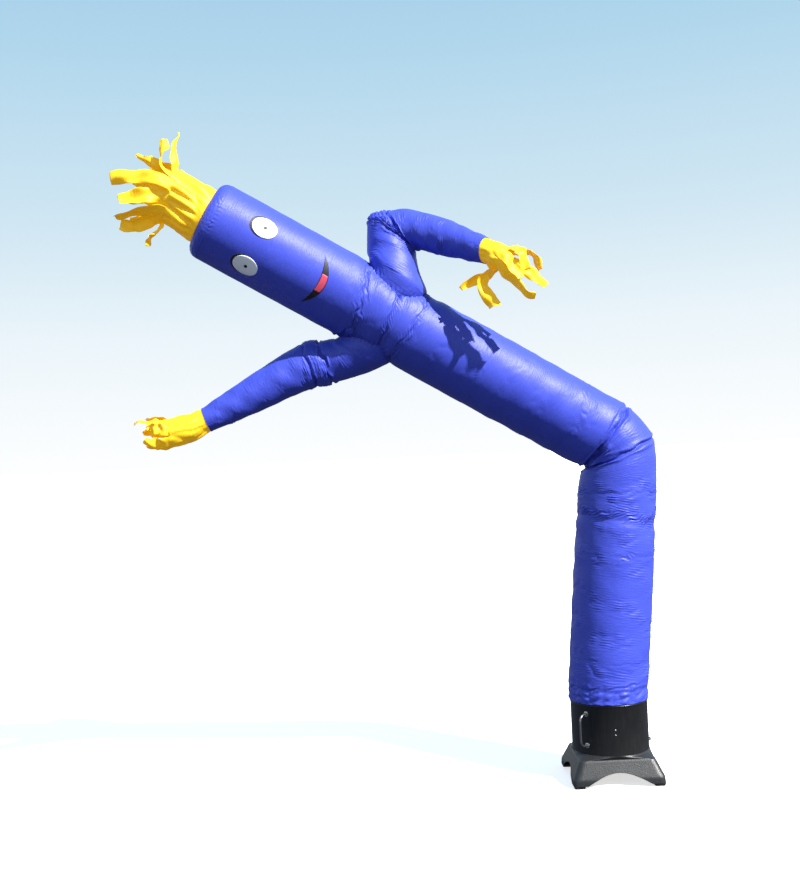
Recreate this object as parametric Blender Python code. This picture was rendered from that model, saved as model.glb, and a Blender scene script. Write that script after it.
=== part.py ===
"""Inflatable air dancer bent over at the knee, standing on its blower.

Sizes are in metres. X runs to the right, Y away from the front, Z up. While it is being built the
blower's axis is at X = 0, Y = 0, and the last step moves the whole part so that the middle of its
box stands on the origin. The blower's feet are on Z = 0 throughout.
"""

from collections import namedtuple
from math import cos, pi, radians, sin, sqrt

import bmesh
import bpy
from mathutils import Matrix, Vector

# Driving sizes of the cloth
CLOTH = 0.0015
GAP = 0.0003
SEAM = 0.0005
LEG_RADIUS = 0.2285
BODY_RADIUS = 0.2235
TUBE_SIDES = 36
ARM_SIDES = 20

# The hem stands upright round the collar, and above it the leg's axis leans to the right
HEM_HEIGHT = 0.455
HEM_WIDTH = 0.054
LEG_LEAN = radians(5.3)

# The body's axis starts in the knee, rises to the left and comes a little to the front
BODY_FOOT = Vector((-0.030, 0.0, 2.025))
BODY_RISE = radians(30.05)
BODY_TURN = radians(10.5)
HEAD_SEAM = 2.455

# The face looks to the front, and the arms are sewn on a quarter turn to each side of it.
# Angles on the tube run from its upper or outer side towards the front.
FACE_ANGLE = radians(99.0)
FACE_LIFT = 0.0005
PATCH = 0.0006

# Driving sizes of the blower
COLLAR_RADIUS = 0.2215
COLLAR_WALL = 0.004
LIP_RADIUS = 0.2255
LIP_LOW = 0.441
COLLAR_TOP = 0.505
COLLAR_FOOT = 0.168
COLLAR_SIDES = 72
BASE_TOP_HALF = 0.214
BASE_TOP = 0.146
BASE_FOOT_HALF = 0.262
BASE_WALL = 0.006
FOOT_HEIGHT = 0.016

Ring = namedtuple("Ring", "centre up front")
LegRow = namedtuple("LegRow", "place inner outer drawn")
SideRow = namedtuple("SideRow", "place inner_x inner_z outer_x outer_z y depth")
Strip = namedtuple("Strip", "angle x y z tip twist sag lead")
CrownRow = namedtuple("CrownRow", "place past_seam radius")
Finish = namedtuple("Finish", "colour roughness metallic")

BLUE = Finish((0.055, 0.060, 0.62), 0.38, 0.0)
YELLOW = Finish((1.0, 0.72, 0.02), 0.5, 0.0)
WHITE = Finish((0.9, 0.9, 0.9), 0.45, 0.0)
BLACK_CLOTH = Finish((0.012, 0.012, 0.014), 0.6, 0.0)
CORAL = Finish((0.85, 0.08, 0.13), 0.5, 0.0)
BLACK_PLASTIC = Finish((0.013, 0.013, 0.014), 0.3, 0.0)
GREY_PLASTIC = Finish((0.022, 0.023, 0.025), 0.5, 0.0)
RUBBER = Finish((0.01, 0.01, 0.01), 0.85, 0.0)
STEEL = Finish((0.45, 0.45, 0.46), 0.28, 1.0)
MOTOR_METAL = Finish((0.05, 0.05, 0.055), 0.45, 0.9)

# Distances along the leg's axis from the top of the hem, on the inner (left) and the outer
# (right) side, and how far the cloth is drawn in there
LEG_ROWS = (
    LegRow("hem crease", -0.004, 0.036, 0.0030),
    LegRow("above the hem", 0.026, 0.066, -0.0010),
    LegRow("low", 0.240, 0.260, -0.0015),
    LegRow("middle", 0.560, 0.540, -0.0030),
    LegRow("high", 0.850, 0.830, -0.0010),
    LegRow("below the pleats", 0.960, 0.925, 0.0010),
    LegRow("pleats", 1.015, 0.970, 0.0080),
    LegRow("above the pleats", 1.070, 1.025, 0.0015),
    LegRow("top", 1.155, 1.190, 0.0030),
)

# The knee: its inner side is one sharp corner, and its outer side turns in three flat steps
KNEE_ROWS = (
    SideRow("knee side", -0.105, 1.748, 0.341, 1.830, 0.000, 0.2250),
    SideRow("lower crease", -0.081, 1.793, 0.327, 1.962, 0.000, 0.2180),
    SideRow("wedge", -0.079, 1.803, 0.262, 2.070, 0.000, 0.2230),
    SideRow("upper crease", -0.083, 1.812, 0.184, 2.151, 0.000, 0.2170),
)

# Distances along the body's axis on the lower (inner) and the upper (outer) side
BODY_ROWS = (
    LegRow("foot", 0.020, 0.000, 0.0005),
    LegRow("low", 0.300, 0.280, -0.0010),
    LegRow("middle", 0.620, 0.600, -0.0030),
    LegRow("high", 0.950, 0.930, -0.0020),
    LegRow("below the third fold", 1.190, 1.120, 0.0000),
    LegRow("third fold", 1.245, 1.160, 0.0045),
    LegRow("below the second fold", 1.290, 1.270, -0.0015),
    LegRow("second fold", 1.335, 1.365, 0.0075),
    LegRow("between the folds", 1.400, 1.465, -0.0010),
    LegRow("first fold", 1.490, 1.580, 0.0085),
    LegRow("above the first fold", 1.570, 1.660, 0.0000),
    LegRow("chest", 1.740, 1.740, 0.0000),
    LegRow("brow", 2.320, 2.320, 0.0000),
    LegRow("head seam", HEAD_SEAM, HEAD_SEAM, 0.0015),
)

# The domed end of the head: distance past its seam, and radius
CROWN_ROWS = (
    CrownRow("seam", 0.0005, 0.2220),
    CrownRow("shoulder", 0.0240, 0.2170),
    CrownRow("round", 0.0440, 0.2020),
    CrownRow("flat", 0.0560, 0.1800),
    CrownRow("hole", 0.0600, 0.1580),
)

RIGHT_ARM_ROWS = (
    SideRow("inside the body", -1.050, 2.717, -1.330, 2.883, -0.240, 0.160),
    SideRow("root", -0.962, 2.832, -1.278, 3.020, -0.255, 0.158),
    SideRow("upper arm", -0.994, 2.940, -1.286, 3.090, -0.240, 0.142),
    SideRow("below the elbow", -1.014, 3.050, -1.284, 3.165, -0.228, 0.130),
    SideRow("first crease", -1.020, 3.074, -1.276, 3.262, -0.222, 0.121),
    SideRow("elbow", -1.018, 3.084, -1.238, 3.305, -0.222, 0.123),
    SideRow("second crease", -1.010, 3.085, -1.165, 3.308, -0.228, 0.115),
    SideRow("above the elbow", -0.990, 3.077, -1.090, 3.316, -0.240, 0.119),
    SideRow("forearm", -0.925, 3.048, -0.960, 3.280, -0.285, 0.112),
    SideRow("middle of the forearm", -0.825, 3.008, -0.790, 3.200, -0.360, 0.100),
    SideRow("wrist", -0.652, 2.940, -0.622, 3.078, -0.500, 0.071),
)

LEFT_ARM_ROWS = (
    SideRow("inside the body", -1.113, 2.569, -1.394, 2.735, -0.205, 0.155),
    SideRow("root", -1.180, 2.455, -1.472, 2.612, -0.182, 0.152),
    SideRow("below the shoulder", -1.300, 2.408, -1.502, 2.603, -0.176, 0.140),
    SideRow("upper arm", -1.415, 2.374, -1.535, 2.602, -0.172, 0.130),
    SideRow("first crease", -1.515, 2.352, -1.592, 2.594, -0.170, 0.120),
    SideRow("elbow", -1.558, 2.336, -1.640, 2.601, -0.170, 0.128),
    SideRow("second crease", -1.610, 2.332, -1.688, 2.584, -0.172, 0.120),
    SideRow("forearm", -1.682, 2.311, -1.795, 2.528, -0.175, 0.119),
    SideRow("middle of the forearm", -1.940, 2.208, -2.030, 2.388, -0.187, 0.096),
    SideRow("wrist", -2.219, 2.106, -2.268, 2.238, -0.200, 0.0705),
)

# Yellow sleeves, each as far as where it is slit into strips. The hair's starts on the rim of the
# hole in the crown, and a hand's starts just inside the end of its arm.
HAIR_ROWS = (
    SideRow("neck", -2.308, 3.192, -2.175, 3.470, -0.411, 0.151),
    SideRow("slits", -2.371, 3.246, -2.274, 3.518, -0.424, 0.145),
)

RIGHT_HAND_ROWS = (
    SideRow("palm", -0.636, 2.931, -0.585, 3.056, -0.508, 0.0690),
    SideRow("slits", -0.622, 2.911, -0.540, 3.036, -0.522, 0.0720),
)

LEFT_HAND_ROWS = (
    SideRow("palm", -2.325, 2.050, -2.340, 2.210, -0.205, 0.0790),
    SideRow("slits", -2.430, 2.025, -2.435, 2.192, -0.210, 0.0800),
)

# One row for each strip: its middle on the slit edge, where its end reaches, how wide its end is
# beside its root, how far it turns over, how far it hangs below a straight line, and what share
# of its length it runs on the way the sleeve points
HAIR_STRIPS = (
    Strip(15, -2.293, -0.430, 3.747, 0.10, 110, 0.00, 0.15),
    Strip(45, -2.365, -0.470, 3.706, 0.50, 150, 0.05, 0.75),
    Strip(75, -2.645, -0.550, 3.486, 1.05, -25, -0.03, 0.35),
    Strip(105, -2.589, -0.600, 3.345, 0.95, 60, -0.02, 0.30),
    Strip(135, -2.638, -0.500, 3.289, 0.85, -50, 0.00, 0.30),
    Strip(165, -2.625, -0.420, 3.262, 0.80, 50, 0.04, 0.25),
    Strip(195, -2.486, -0.460, 3.165, 0.75, 40, 0.03, 0.15),
    Strip(225, -2.600, -0.330, 3.290, 0.90, -60, 0.04, 0.25),
    Strip(255, -2.640, -0.290, 3.420, 0.90, 50, 0.01, 0.35),
    Strip(285, -2.600, -0.240, 3.540, 0.70, -80, 0.00, 0.35),
    Strip(315, -2.490, -0.260, 3.610, 0.60, 60, 0.00, 0.35),
    Strip(345, -2.525, -0.420, 3.640, 0.15, 40, 0.02, 0.45),
)

RIGHT_HAND_STRIPS = (
    Strip(26, -0.352, -0.500, 2.890, 1.00, 30, -0.115, 0.50),
    Strip(77, -0.322, -0.540, 2.800, 0.80, -40, -0.03, 0.45),
    Strip(129, -0.781, -0.470, 2.811, 0.50, 110, -0.02, -0.05),
    Strip(180, -0.616, -0.560, 2.696, 1.15, 115, 0.02, -0.35),
    Strip(231, -0.397, -0.590, 2.724, 0.95, 30, 0.05, 0.20),
    Strip(283, -0.475, -0.620, 2.830, 0.90, -30, -0.02, 0.30),
    Strip(334, -0.440, -0.590, 2.880, 0.95, 40, -0.110, 0.45),
)

LEFT_HAND_STRIPS = (
    Strip(26, -2.658, -0.200, 2.171, 0.15, 20, -0.02, 0.35),
    Strip(77, -2.630, -0.260, 2.145, 0.50, -20, -0.02, 0.35),
    Strip(129, -2.600, -0.275, 2.082, 0.60, 20, 0.03, 0.35),
    Strip(180, -2.581, -0.230, 2.042, 0.80, -20, 0.03, 0.25),
    Strip(231, -2.605, -0.150, 2.085, 0.80, 20, 0.02, 0.30),
    Strip(283, -2.621, -0.140, 2.120, 0.70, -30, -0.01, 0.35),
    Strip(334, -2.590, -0.160, 2.180, 0.70, 20, -0.03, 0.35),
)

TUCK = 0.008
STRIP_STEPS = 5
SLIT = 0.004


def clear_scene():
    """Remove whatever the file holds."""
    for thing in list(bpy.data.objects):
        bpy.data.objects.remove(thing, do_unlink=True)


def make_material(name, finish):
    """Give a piece a plain material of its own."""
    material = bpy.data.materials.new(name)
    material.use_nodes = True
    shader = material.node_tree.nodes["Principled BSDF"]
    shader.inputs["Base Color"].default_value = (*finish.colour, 1.0)
    shader.inputs["Roughness"].default_value = finish.roughness
    shader.inputs["Metallic"].default_value = finish.metallic
    return material


def add_piece(name, bm, finish, smooth=50.0):
    """Make a named object of a mesh, shaded smooth but for edges sharper than a given angle."""
    mesh = bpy.data.meshes.new(name)
    bm.to_mesh(mesh)
    bm.free()
    mesh.shade_smooth()
    mesh.set_sharp_from_angle(angle=radians(smooth))
    piece = bpy.data.objects.new(name, mesh)
    bpy.context.collection.objects.link(piece)
    mesh.materials.append(make_material(name, finish))
    return piece


def add_cutter(name, bm):
    """Make an object that only cuts others."""
    mesh = bpy.data.meshes.new(name)
    bm.to_mesh(mesh)
    bm.free()
    cutter = bpy.data.objects.new(name, mesh)
    bpy.context.collection.objects.link(cutter)
    cutter.hide_render = True
    cutter.display_type = "WIRE"
    return cutter


def cut(piece, cutter):
    """Take a cutter's volume out of a piece."""
    boolean = piece.modifiers.new("cut " + cutter.name, "BOOLEAN")
    boolean.operation = "DIFFERENCE"
    boolean.solver = "EXACT"
    boolean.object = cutter


def give_thickness(piece, thickness, offset=-1.0):
    """Turn a single surface into cloth of a real thickness, inwards unless told otherwise."""
    solidify = piece.modifiers.new("cloth", "SOLIDIFY")
    solidify.thickness = thickness
    solidify.offset = offset
    solidify.use_even_offset = False


def ring_points(ring, sides, drawn=0.0):
    """Points round one ring, from its upper or outer side towards its front."""
    up = ring.up.normalized() * (ring.up.length - drawn)
    front = ring.front.normalized() * (ring.front.length - drawn)
    turns = [2 * pi * k / sides for k in range(sides)]
    return [ring.centre + up * cos(turn) + front * sin(turn) for turn in turns]


def tube_surface(rings, sides, drawn=0.0, closed=False):
    """Skin a row of rings, facing out. A closed one is a solid, for cutting."""
    bm = bmesh.new()
    loops = [[bm.verts.new(point) for point in ring_points(ring, sides, drawn)] for ring in rings]
    for near, far in zip(loops, loops[1:]):
        for k in range(sides):
            after = (k + 1) % sides
            bm.faces.new((near[k], far[k], far[after], near[after]))
    if closed:
        bm.faces.new(loops[0])
        bm.faces.new(list(reversed(loops[-1])))
    return bm


def side_rings(rows):
    """Rings from rows that give the two sides of a tube as seen from the front."""
    inner = [Vector((row.inner_x, row.y, row.inner_z)) for row in rows]
    outer = [Vector((row.outer_x, row.y, row.outer_z)) for row in rows]
    centres = [(a + b) / 2 for a, b in zip(inner, outer)]
    rings = []
    for k, row in enumerate(rows):
        ahead = centres[min(k + 1, len(rows) - 1)] - centres[max(k - 1, 0)]
        up = outer[k] - centres[k]
        rings.append(Ring(centres[k], up, up.cross(ahead).normalized() * row.depth))
    return rings


def cylinder_rings(rows, foot, along, outward, radius):
    """Rings from rows that give distances along the axis of a straight tube."""
    front = outward.cross(along)
    rings = []
    for row in rows:
        middle = (row.inner + row.outer) / 2
        slant = along * ((row.outer - row.inner) / 2)
        size = radius - row.drawn
        rings.append(Ring(foot + along * middle, outward * size + slant, front * size))
    return rings


def hem_rings():
    """Two level rings round the collar."""
    right = Vector((LEG_RADIUS, 0.0, 0.0))
    front = Vector((0.0, -LEG_RADIUS, 0.0))
    heights = (HEM_HEIGHT, HEM_HEIGHT + HEM_WIDTH)
    return [Ring(Vector((0.0, 0.0, height)), right, front) for height in heights]


def leg_frame():
    """The leg's foot, axis and outward direction."""
    foot = Vector((0.0, 0.0, HEM_HEIGHT + HEM_WIDTH))
    along = Vector((sin(LEG_LEAN), 0.0, cos(LEG_LEAN)))
    return foot, along, Vector((cos(LEG_LEAN), 0.0, -sin(LEG_LEAN)))


def body_frame():
    """The body's foot, axis and upward direction."""
    level = Vector((-cos(BODY_TURN), -sin(BODY_TURN), 0.0))
    along = level * cos(BODY_RISE) + Vector((0.0, 0.0, sin(BODY_RISE)))
    front = Vector((0.0, -1.0, 0.0))
    front = (front - along * front.dot(along)).normalized()
    return BODY_FOOT, along, along.cross(front)


def body_skin(distance, angle, lift=0.0):
    """A point on the straight part of the body, raised off the cloth by a lift."""
    foot, along, upward = body_frame()
    front = upward.cross(along)
    radius = BODY_RADIUS + lift
    return foot + along * distance + (upward * cos(angle) + front * sin(angle)) * radius


def whole_tube_rings():
    """Rings of hem, leg, knee and body in one run."""
    leg = cylinder_rings(LEG_ROWS, *leg_frame(), LEG_RADIUS)
    body = cylinder_rings(BODY_ROWS, *body_frame(), BODY_RADIUS)
    return hem_rings() + leg + side_rings(KNEE_ROWS) + body


def make_body_tube():
    """Leg and body are one tube, which opens into each arm."""
    body = add_piece("body_tube", tube_surface(whole_tube_rings(), TUBE_SIDES), BLUE)
    give_thickness(body, CLOTH)
    for name, rows in (("right_air_hole", RIGHT_ARM_ROWS), ("left_air_hole", LEFT_ARM_ROWS)):
        core = tube_surface(side_rings(rows)[:4], ARM_SIDES, CLOTH + GAP, closed=True)
        cut(body, add_cutter(name, core))
    return body


def make_arms():
    """Each arm is a tapered tube whose root fits the body's side."""
    trunk = cylinder_rings(BODY_ROWS, *body_frame(), BODY_RADIUS)
    shape = add_cutter("body_outside", tube_surface(trunk, TUBE_SIDES, -GAP, closed=True))
    for name, rows in (("right_arm", RIGHT_ARM_ROWS), ("left_arm", LEFT_ARM_ROWS)):
        arm = add_piece(name, tube_surface(side_rings(rows), ARM_SIDES), BLUE)
        give_thickness(arm, CLOTH)
        cut(arm, shape)


def make_crown():
    """The domed blue end of the head, with a hole that the hair is sewn into."""
    foot, along, upward = body_frame()
    front = upward.cross(along)
    rings = []
    for row in CROWN_ROWS:
        centre = foot + along * (HEAD_SEAM + row.past_seam)
        rings.append(Ring(centre, upward * row.radius, front * row.radius))
    crown = add_piece("crown", tube_surface(rings, TUBE_SIDES), BLUE)
    give_thickness(crown, CLOTH)


def hair_rings():
    """The hair's sleeve starts on the rim of the crown's hole."""
    foot, along, upward = body_frame()
    rim = CROWN_ROWS[-1]
    centre = foot + along * (HEAD_SEAM + rim.past_seam + SEAM)
    front = upward.cross(along)
    return [Ring(centre, upward * rim.radius, front * rim.radius)] + side_rings(HAIR_ROWS)


def cuff_rings(arm_rows):
    """A hand's sleeve starts just inside the end of its arm."""
    before, end = side_rings(arm_rows)[-2:]
    ahead = (end.centre - before.centre).normalized()
    up = end.up.normalized() * (end.up.length - 2 * CLOTH)
    front = end.front.normalized() * (end.front.length - 2 * CLOTH)
    return [Ring(end.centre - ahead * back, up, front) for back in (TUCK, 0.0)]


def strip_path(strip, root, ahead, outward):
    """Points down the middle of a strip, which leaves the sleeve ahead or sideways and bends."""
    end = Vector((strip.x, strip.y, strip.z))
    reach = (end - root).length
    sideways = max(0.0, 0.15 - strip.lead)
    first = root + ahead * (reach * strip.lead) + outward * (reach * sideways)
    second = root.lerp(end, 0.7) - Vector((0.0, 0.0, strip.sag))
    path = []
    for k in range(STRIP_STEPS + 1):
        t = k / STRIP_STEPS
        path.append(
            root * (1 - t) ** 3
            + first * (3 * t * (1 - t) ** 2)
            + second * (3 * t * t * (1 - t))
            + end * t**3
        )
    return path


def add_strip(bm, edge, strip, ahead, outward):
    """Run one strip on from three points on the slit edge, turning over as it goes."""
    left, middle, right = edge
    across = right.co - left.co
    half = across.length / 2
    across.normalize()
    path = strip_path(strip, middle.co.copy(), ahead, outward)
    last = (left, middle, right)
    for k in range(1, STRIP_STEPS + 1):
        t = k / STRIP_STEPS
        tangent = (path[min(k + 1, STRIP_STEPS)] - path[k - 1]).normalized()
        across = (across - tangent * across.dot(tangent)).normalized()
        across = Matrix.Rotation(radians(strip.twist) / STRIP_STEPS, 3, tangent) @ across
        width = half * (1 + (strip.tip - 1) * t * t)
        cup = tangent.cross(across) * (0.08 * width)
        row = [bm.verts.new(path[k] + across * (width * side)) for side in (-1, 0, 1)]
        row[1].co += cup
        for a in (0, 1):
            bm.faces.new((last[a], row[a], row[a + 1], last[a + 1]))
        last = row


def make_slit_sleeve(name, rings, strips, root_band):
    """A yellow sleeve, and beside its end a narrow band that the strips are cut from."""
    sides = 3 * len(strips)
    sleeve = add_piece(name + "_sleeve", tube_surface(rings, sides), YELLOW)
    give_thickness(sleeve, CLOTH)

    end = rings[-1]
    ahead = (end.centre - rings[-2].centre).normalized()
    near = Ring(end.centre + ahead * SEAM, end.up, end.front)
    far = Ring(end.centre + ahead * root_band, end.up, end.front)
    bm = bmesh.new()
    slit = SLIT / (2 * pi * end.up.length) * 2 * pi
    share = 2 * pi / len(strips)
    turns = []
    for strip in strips:
        middle = radians(strip.angle)
        turns += [middle - share / 2 + slit / 2, middle, middle + share / 2 - slit / 2]
    loops = []
    for ring in (near, far):
        points = [ring.centre + ring.up * cos(turn) + ring.front * sin(turn) for turn in turns]
        loops.append([bm.verts.new(point) for point in points])
    count = len(turns)
    for k in range(count):
        after = (k + 1) % count
        bm.faces.new((loops[0][k], loops[1][k], loops[1][after], loops[0][after]))
    for number, strip in enumerate(strips):
        edge = loops[1][3 * number : 3 * number + 3]
        outward = (edge[1].co - far.centre).normalized()
        add_strip(bm, edge, strip, ahead, outward)
    fringe = add_piece(name + "_strips", bm, YELLOW, smooth=80.0)
    give_thickness(fringe, CLOTH)


def add_patch(name, outline, lift, finish):
    """A flat patch sewn on the body: rows of points across it, each a distance and an angle."""
    bm = bmesh.new()
    rows = [[bm.verts.new(body_skin(s, a, lift)) for s, a in row] for row in outline]
    for near, far in zip(rows, rows[1:]):
        for k in range(len(near) - 1):
            corners = (near[k], far[k], far[k + 1], near[k + 1])
            bm.faces.new(corners)
    bmesh.ops.remove_doubles(bm, verts=bm.verts, dist=0.00005)
    patch = add_piece(name, bm, finish)
    give_thickness(patch, PATCH, offset=1.0)


def oval_rows(distance, angle, half_length, half_width, rows, across):
    """Rows of points that fill an oval on the body, from its lower end to its upper end."""
    outline = []
    for k in range(rows + 1):
        place = -cos(pi * k / rows)
        reach = sqrt(max(0.0, 1 - place * place)) * half_width / BODY_RADIUS
        s = distance + half_length * place
        outline.append([(s, angle + reach * (2 * m / across - 1)) for m in range(across + 1)])
    return outline


EYE_DISTANCE = 2.191
EYE_SPREAD = radians(31.0)
EYE_HALF_LENGTH = 0.0705
EYE_HALF_WIDTH = 0.0590
RIM_MARGIN = 0.003
RIM_SHIFT = 0.011
PUPIL_RADIUS = 0.0095
PUPIL_SHIFT = -0.004


def make_eyes():
    """Each eye is a white oval on a black one, which shows as a crescent towards the crown."""
    top = FACE_LIFT + PATCH + SEAM
    for side, turn in (("right", -EYE_SPREAD), ("left", EYE_SPREAD)):
        angle = FACE_ANGLE + turn
        rim = oval_rows(
            EYE_DISTANCE + RIM_SHIFT,
            angle,
            EYE_HALF_LENGTH + RIM_MARGIN,
            EYE_HALF_WIDTH + RIM_MARGIN,
            rows=10,
            across=6,
        )
        add_patch(side + "_eye_rim", rim, FACE_LIFT, BLACK_CLOTH)
        white = oval_rows(EYE_DISTANCE, angle, EYE_HALF_LENGTH, EYE_HALF_WIDTH, 10, 6)
        add_patch(side + "_eye_white", white, top, WHITE)
        pupil = oval_rows(
            EYE_DISTANCE + PUPIL_SHIFT, angle, PUPIL_RADIUS, PUPIL_RADIUS, rows=6, across=2
        )
        add_patch(side + "_pupil", pupil, top + PATCH + SEAM, BLACK_CLOTH)


MOUTH_DISTANCE = 1.840
MOUTH_SPREAD = radians(39.5)
MOUTH_SAG_OUT = 0.080
MOUTH_SAG_IN = 0.034
MOUTH_STEPS = 14
LIP_SPREAD = radians(13.0)


def mouth_rows(spread, margin, steps):
    """Rows of points across the crescent of the mouth, which opens towards the eyes."""
    outline = []
    for k in range(steps + 1):
        turn = spread * (2 * k / steps - 1)
        share = turn / MOUTH_SPREAD
        hollow = 1 - share * share
        low = MOUTH_DISTANCE - MOUTH_SAG_OUT * hollow + margin
        high = MOUTH_DISTANCE - MOUTH_SAG_IN * hollow - margin
        angle = FACE_ANGLE + turn
        outline.append([(low, angle), ((low + high) / 2, angle), (high, angle)])
    return outline


def make_mouth():
    """A black smile with a red patch over its middle."""
    smile = mouth_rows(MOUTH_SPREAD, 0.0, MOUTH_STEPS)
    add_patch("smile", list(reversed(smile)), FACE_LIFT, BLACK_CLOTH)
    lip = mouth_rows(LIP_SPREAD, 0.004, 6)
    add_patch("lip", list(reversed(lip)), FACE_LIFT + PATCH + SEAM, CORAL)


def turned(name, profile, sides, finish):
    """A turned piece round the blower's axis, from its closed outline of radius and height."""
    bm = bmesh.new()
    loops = []
    for k in range(sides):
        turn = 2 * pi * k / sides
        points = [Vector((r * cos(turn), r * sin(turn), z)) for r, z in profile]
        loops.append([bm.verts.new(point) for point in points])
    for k in range(sides):
        near, far = loops[k], loops[(k + 1) % sides]
        for m in range(len(profile)):
            after = (m + 1) % len(profile)
            bm.faces.new((near[m], far[m], far[after], near[after]))
    bmesh.ops.recalc_face_normals(bm, faces=bm.faces)
    return add_piece(name, bm, finish)


def make_collar():
    """The round duct that the cloth is strapped over, with a rolled lip just below the hem."""
    inside = COLLAR_RADIUS - COLLAR_WALL
    profile = (
        (inside, COLLAR_FOOT),
        (COLLAR_RADIUS, COLLAR_FOOT),
        (COLLAR_RADIUS, LIP_LOW),
        (LIP_RADIUS, LIP_LOW + 0.004),
        (LIP_RADIUS, COLLAR_TOP - 0.006),
        (COLLAR_RADIUS, COLLAR_TOP),
        (inside, COLLAR_TOP),
    )
    turned("blower_collar", profile, COLLAR_SIDES, BLACK_PLASTIC)


def square_loop(half, corner, z, per_side):
    """Points round a square with round corners, or round a circle where the corner is the half."""
    points = []
    for side in range(4):
        for k in range(per_side):
            turn = (side + (k + 0.5) / per_side - 0.5) * pi / 2
            reach = half / max(abs(cos(turn)), abs(sin(turn)))
            straight = Vector((cos(turn), sin(turn))) * reach
            limit = half - corner
            core = Vector((max(-limit, min(limit, straight.x)), max(-limit, min(limit, straight.y))))
            out = straight - core
            if out.length > 1e-9:
                out = out.normalized() * corner
            points.append(Vector((core.x + out.x, core.y + out.y, z)))
    return points


BASE_OUTSIDE = (
    # half width, corner radius, height
    (BASE_FOOT_HALF, 0.030, FOOT_HEIGHT + GAP),
    (BASE_FOOT_HALF - 0.002, 0.034, 0.050),
    (BASE_TOP_HALF + 0.007, 0.032, BASE_TOP - 0.012),
    (BASE_TOP_HALF, 0.030, BASE_TOP),
    (COLLAR_RADIUS - 0.003, 0.150, BASE_TOP + 0.010),
    (COLLAR_RADIUS + 0.001, COLLAR_RADIUS + 0.001, COLLAR_FOOT - GAP),
    (COLLAR_RADIUS - 0.015, COLLAR_RADIUS - 0.015, COLLAR_FOOT - GAP),
)
BASE_INSIDE = (
    (COLLAR_RADIUS - 0.015, COLLAR_RADIUS - 0.015, COLLAR_FOOT - BASE_WALL),
    (BASE_TOP_HALF - BASE_WALL, 0.150, BASE_TOP + 0.002),
    (BASE_TOP_HALF - BASE_WALL, 0.026, BASE_TOP - 0.010),
    (BASE_FOOT_HALF - 0.002 - BASE_WALL, 0.028, 0.048),
    (BASE_FOOT_HALF - BASE_WALL, 0.024, FOOT_HEIGHT + GAP),
)
BASE_PER_SIDE = 12
ARCH_HEIGHT = 0.082
ARCH_HALF = 0.205
ARCH_STEPS = 12


def base_shell():
    """The base's moulded wall before its arches are cut: up the outside and down the inside."""
    bm = bmesh.new()
    rows = BASE_OUTSIDE + BASE_INSIDE
    loops = [[bm.verts.new(p) for p in square_loop(*row, BASE_PER_SIDE)] for row in rows]
    count = 4 * BASE_PER_SIDE
    for near, far in zip(loops, loops[1:] + loops[:1]):
        for k in range(count):
            after = (k + 1) % count
            bm.faces.new((near[k], near[after], far[after], far[k]))
    return bm


def arch_cutter(name, turn):
    """A bell-shaped arch right through the base, along one axis."""
    bm = bmesh.new()
    reach = BASE_FOOT_HALF + 0.1
    outline = []
    for k in range(ARCH_STEPS + 1):
        share = 2 * k / ARCH_STEPS - 1
        height = ARCH_HEIGHT * cos(pi / 2 * share)
        outline.append((ARCH_HALF * share, height))
    outline[0] = (-ARCH_HALF, -0.02)
    outline[-1] = (ARCH_HALF, -0.02)
    ends = []
    for y in (-reach, reach):
        ends.append([bm.verts.new((x, y, z)) for x, z in outline])
    bm.faces.new(ends[0])
    bm.faces.new(list(reversed(ends[1])))
    for k in range(len(outline)):
        after = (k + 1) % len(outline)
        bm.faces.new((ends[0][k], ends[1][k], ends[1][after], ends[0][after]))
    bmesh.ops.transform(bm, matrix=Matrix.Rotation(turn, 4, "Z"), verts=bm.verts)
    bmesh.ops.recalc_face_normals(bm, faces=bm.faces)
    return add_cutter(name, bm)


def make_base():
    """The flared square base, open underneath and arched on its four sides."""
    base = add_piece("blower_base", base_shell(), GREY_PLASTIC, smooth=30.0)
    cut(base, arch_cutter("arch_front", 0.0))
    cut(base, arch_cutter("arch_side", pi / 2))


FOOT_SIZE = 0.068
FOOT_PLACE = 0.226


def make_feet():
    """Four rubber blocks under the corners."""
    for name, x, y in (
        ("foot_front_left", -1, -1),
        ("foot_front_right", 1, -1),
        ("foot_back_left", -1, 1),
        ("foot_back_right", 1, 1),
    ):
        bm = bmesh.new()
        bmesh.ops.create_cube(bm, size=1.0)
        centre = Vector((x * FOOT_PLACE, y * FOOT_PLACE, FOOT_HEIGHT / 2))
        for vert in bm.verts:
            spread = 0.86 if vert.co.z < 0 else 1.0
            vert.co.x *= FOOT_SIZE * spread
            vert.co.y *= FOOT_SIZE * spread
            vert.co.z *= FOOT_HEIGHT
            vert.co += centre
        upright = [edge for edge in bm.edges if abs(edge.verts[0].co.z - edge.verts[1].co.z) > 0.01]
        bmesh.ops.bevel(bm, geom=upright, offset=0.010, segments=3, affect="EDGES", profile=0.5)
        add_piece(name, bm, RUBBER, smooth=40.0)


def collar_place(angle, height, out=0.0):
    """A point on the collar's outside, and the directions out of it and round it there."""
    outward = Vector((sin(angle), -cos(angle), 0.0))
    return outward * (COLLAR_RADIUS + out) + Vector((0.0, 0.0, height)), outward


HANDLE_ANGLE = radians(-46.0)
HANDLE_TOP = 0.398
HANDLE_BOTTOM = 0.219
HANDLE_STANDOFF = 0.058
HANDLE_BAR = 0.0065
HANDLE_BEND = 0.036


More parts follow.
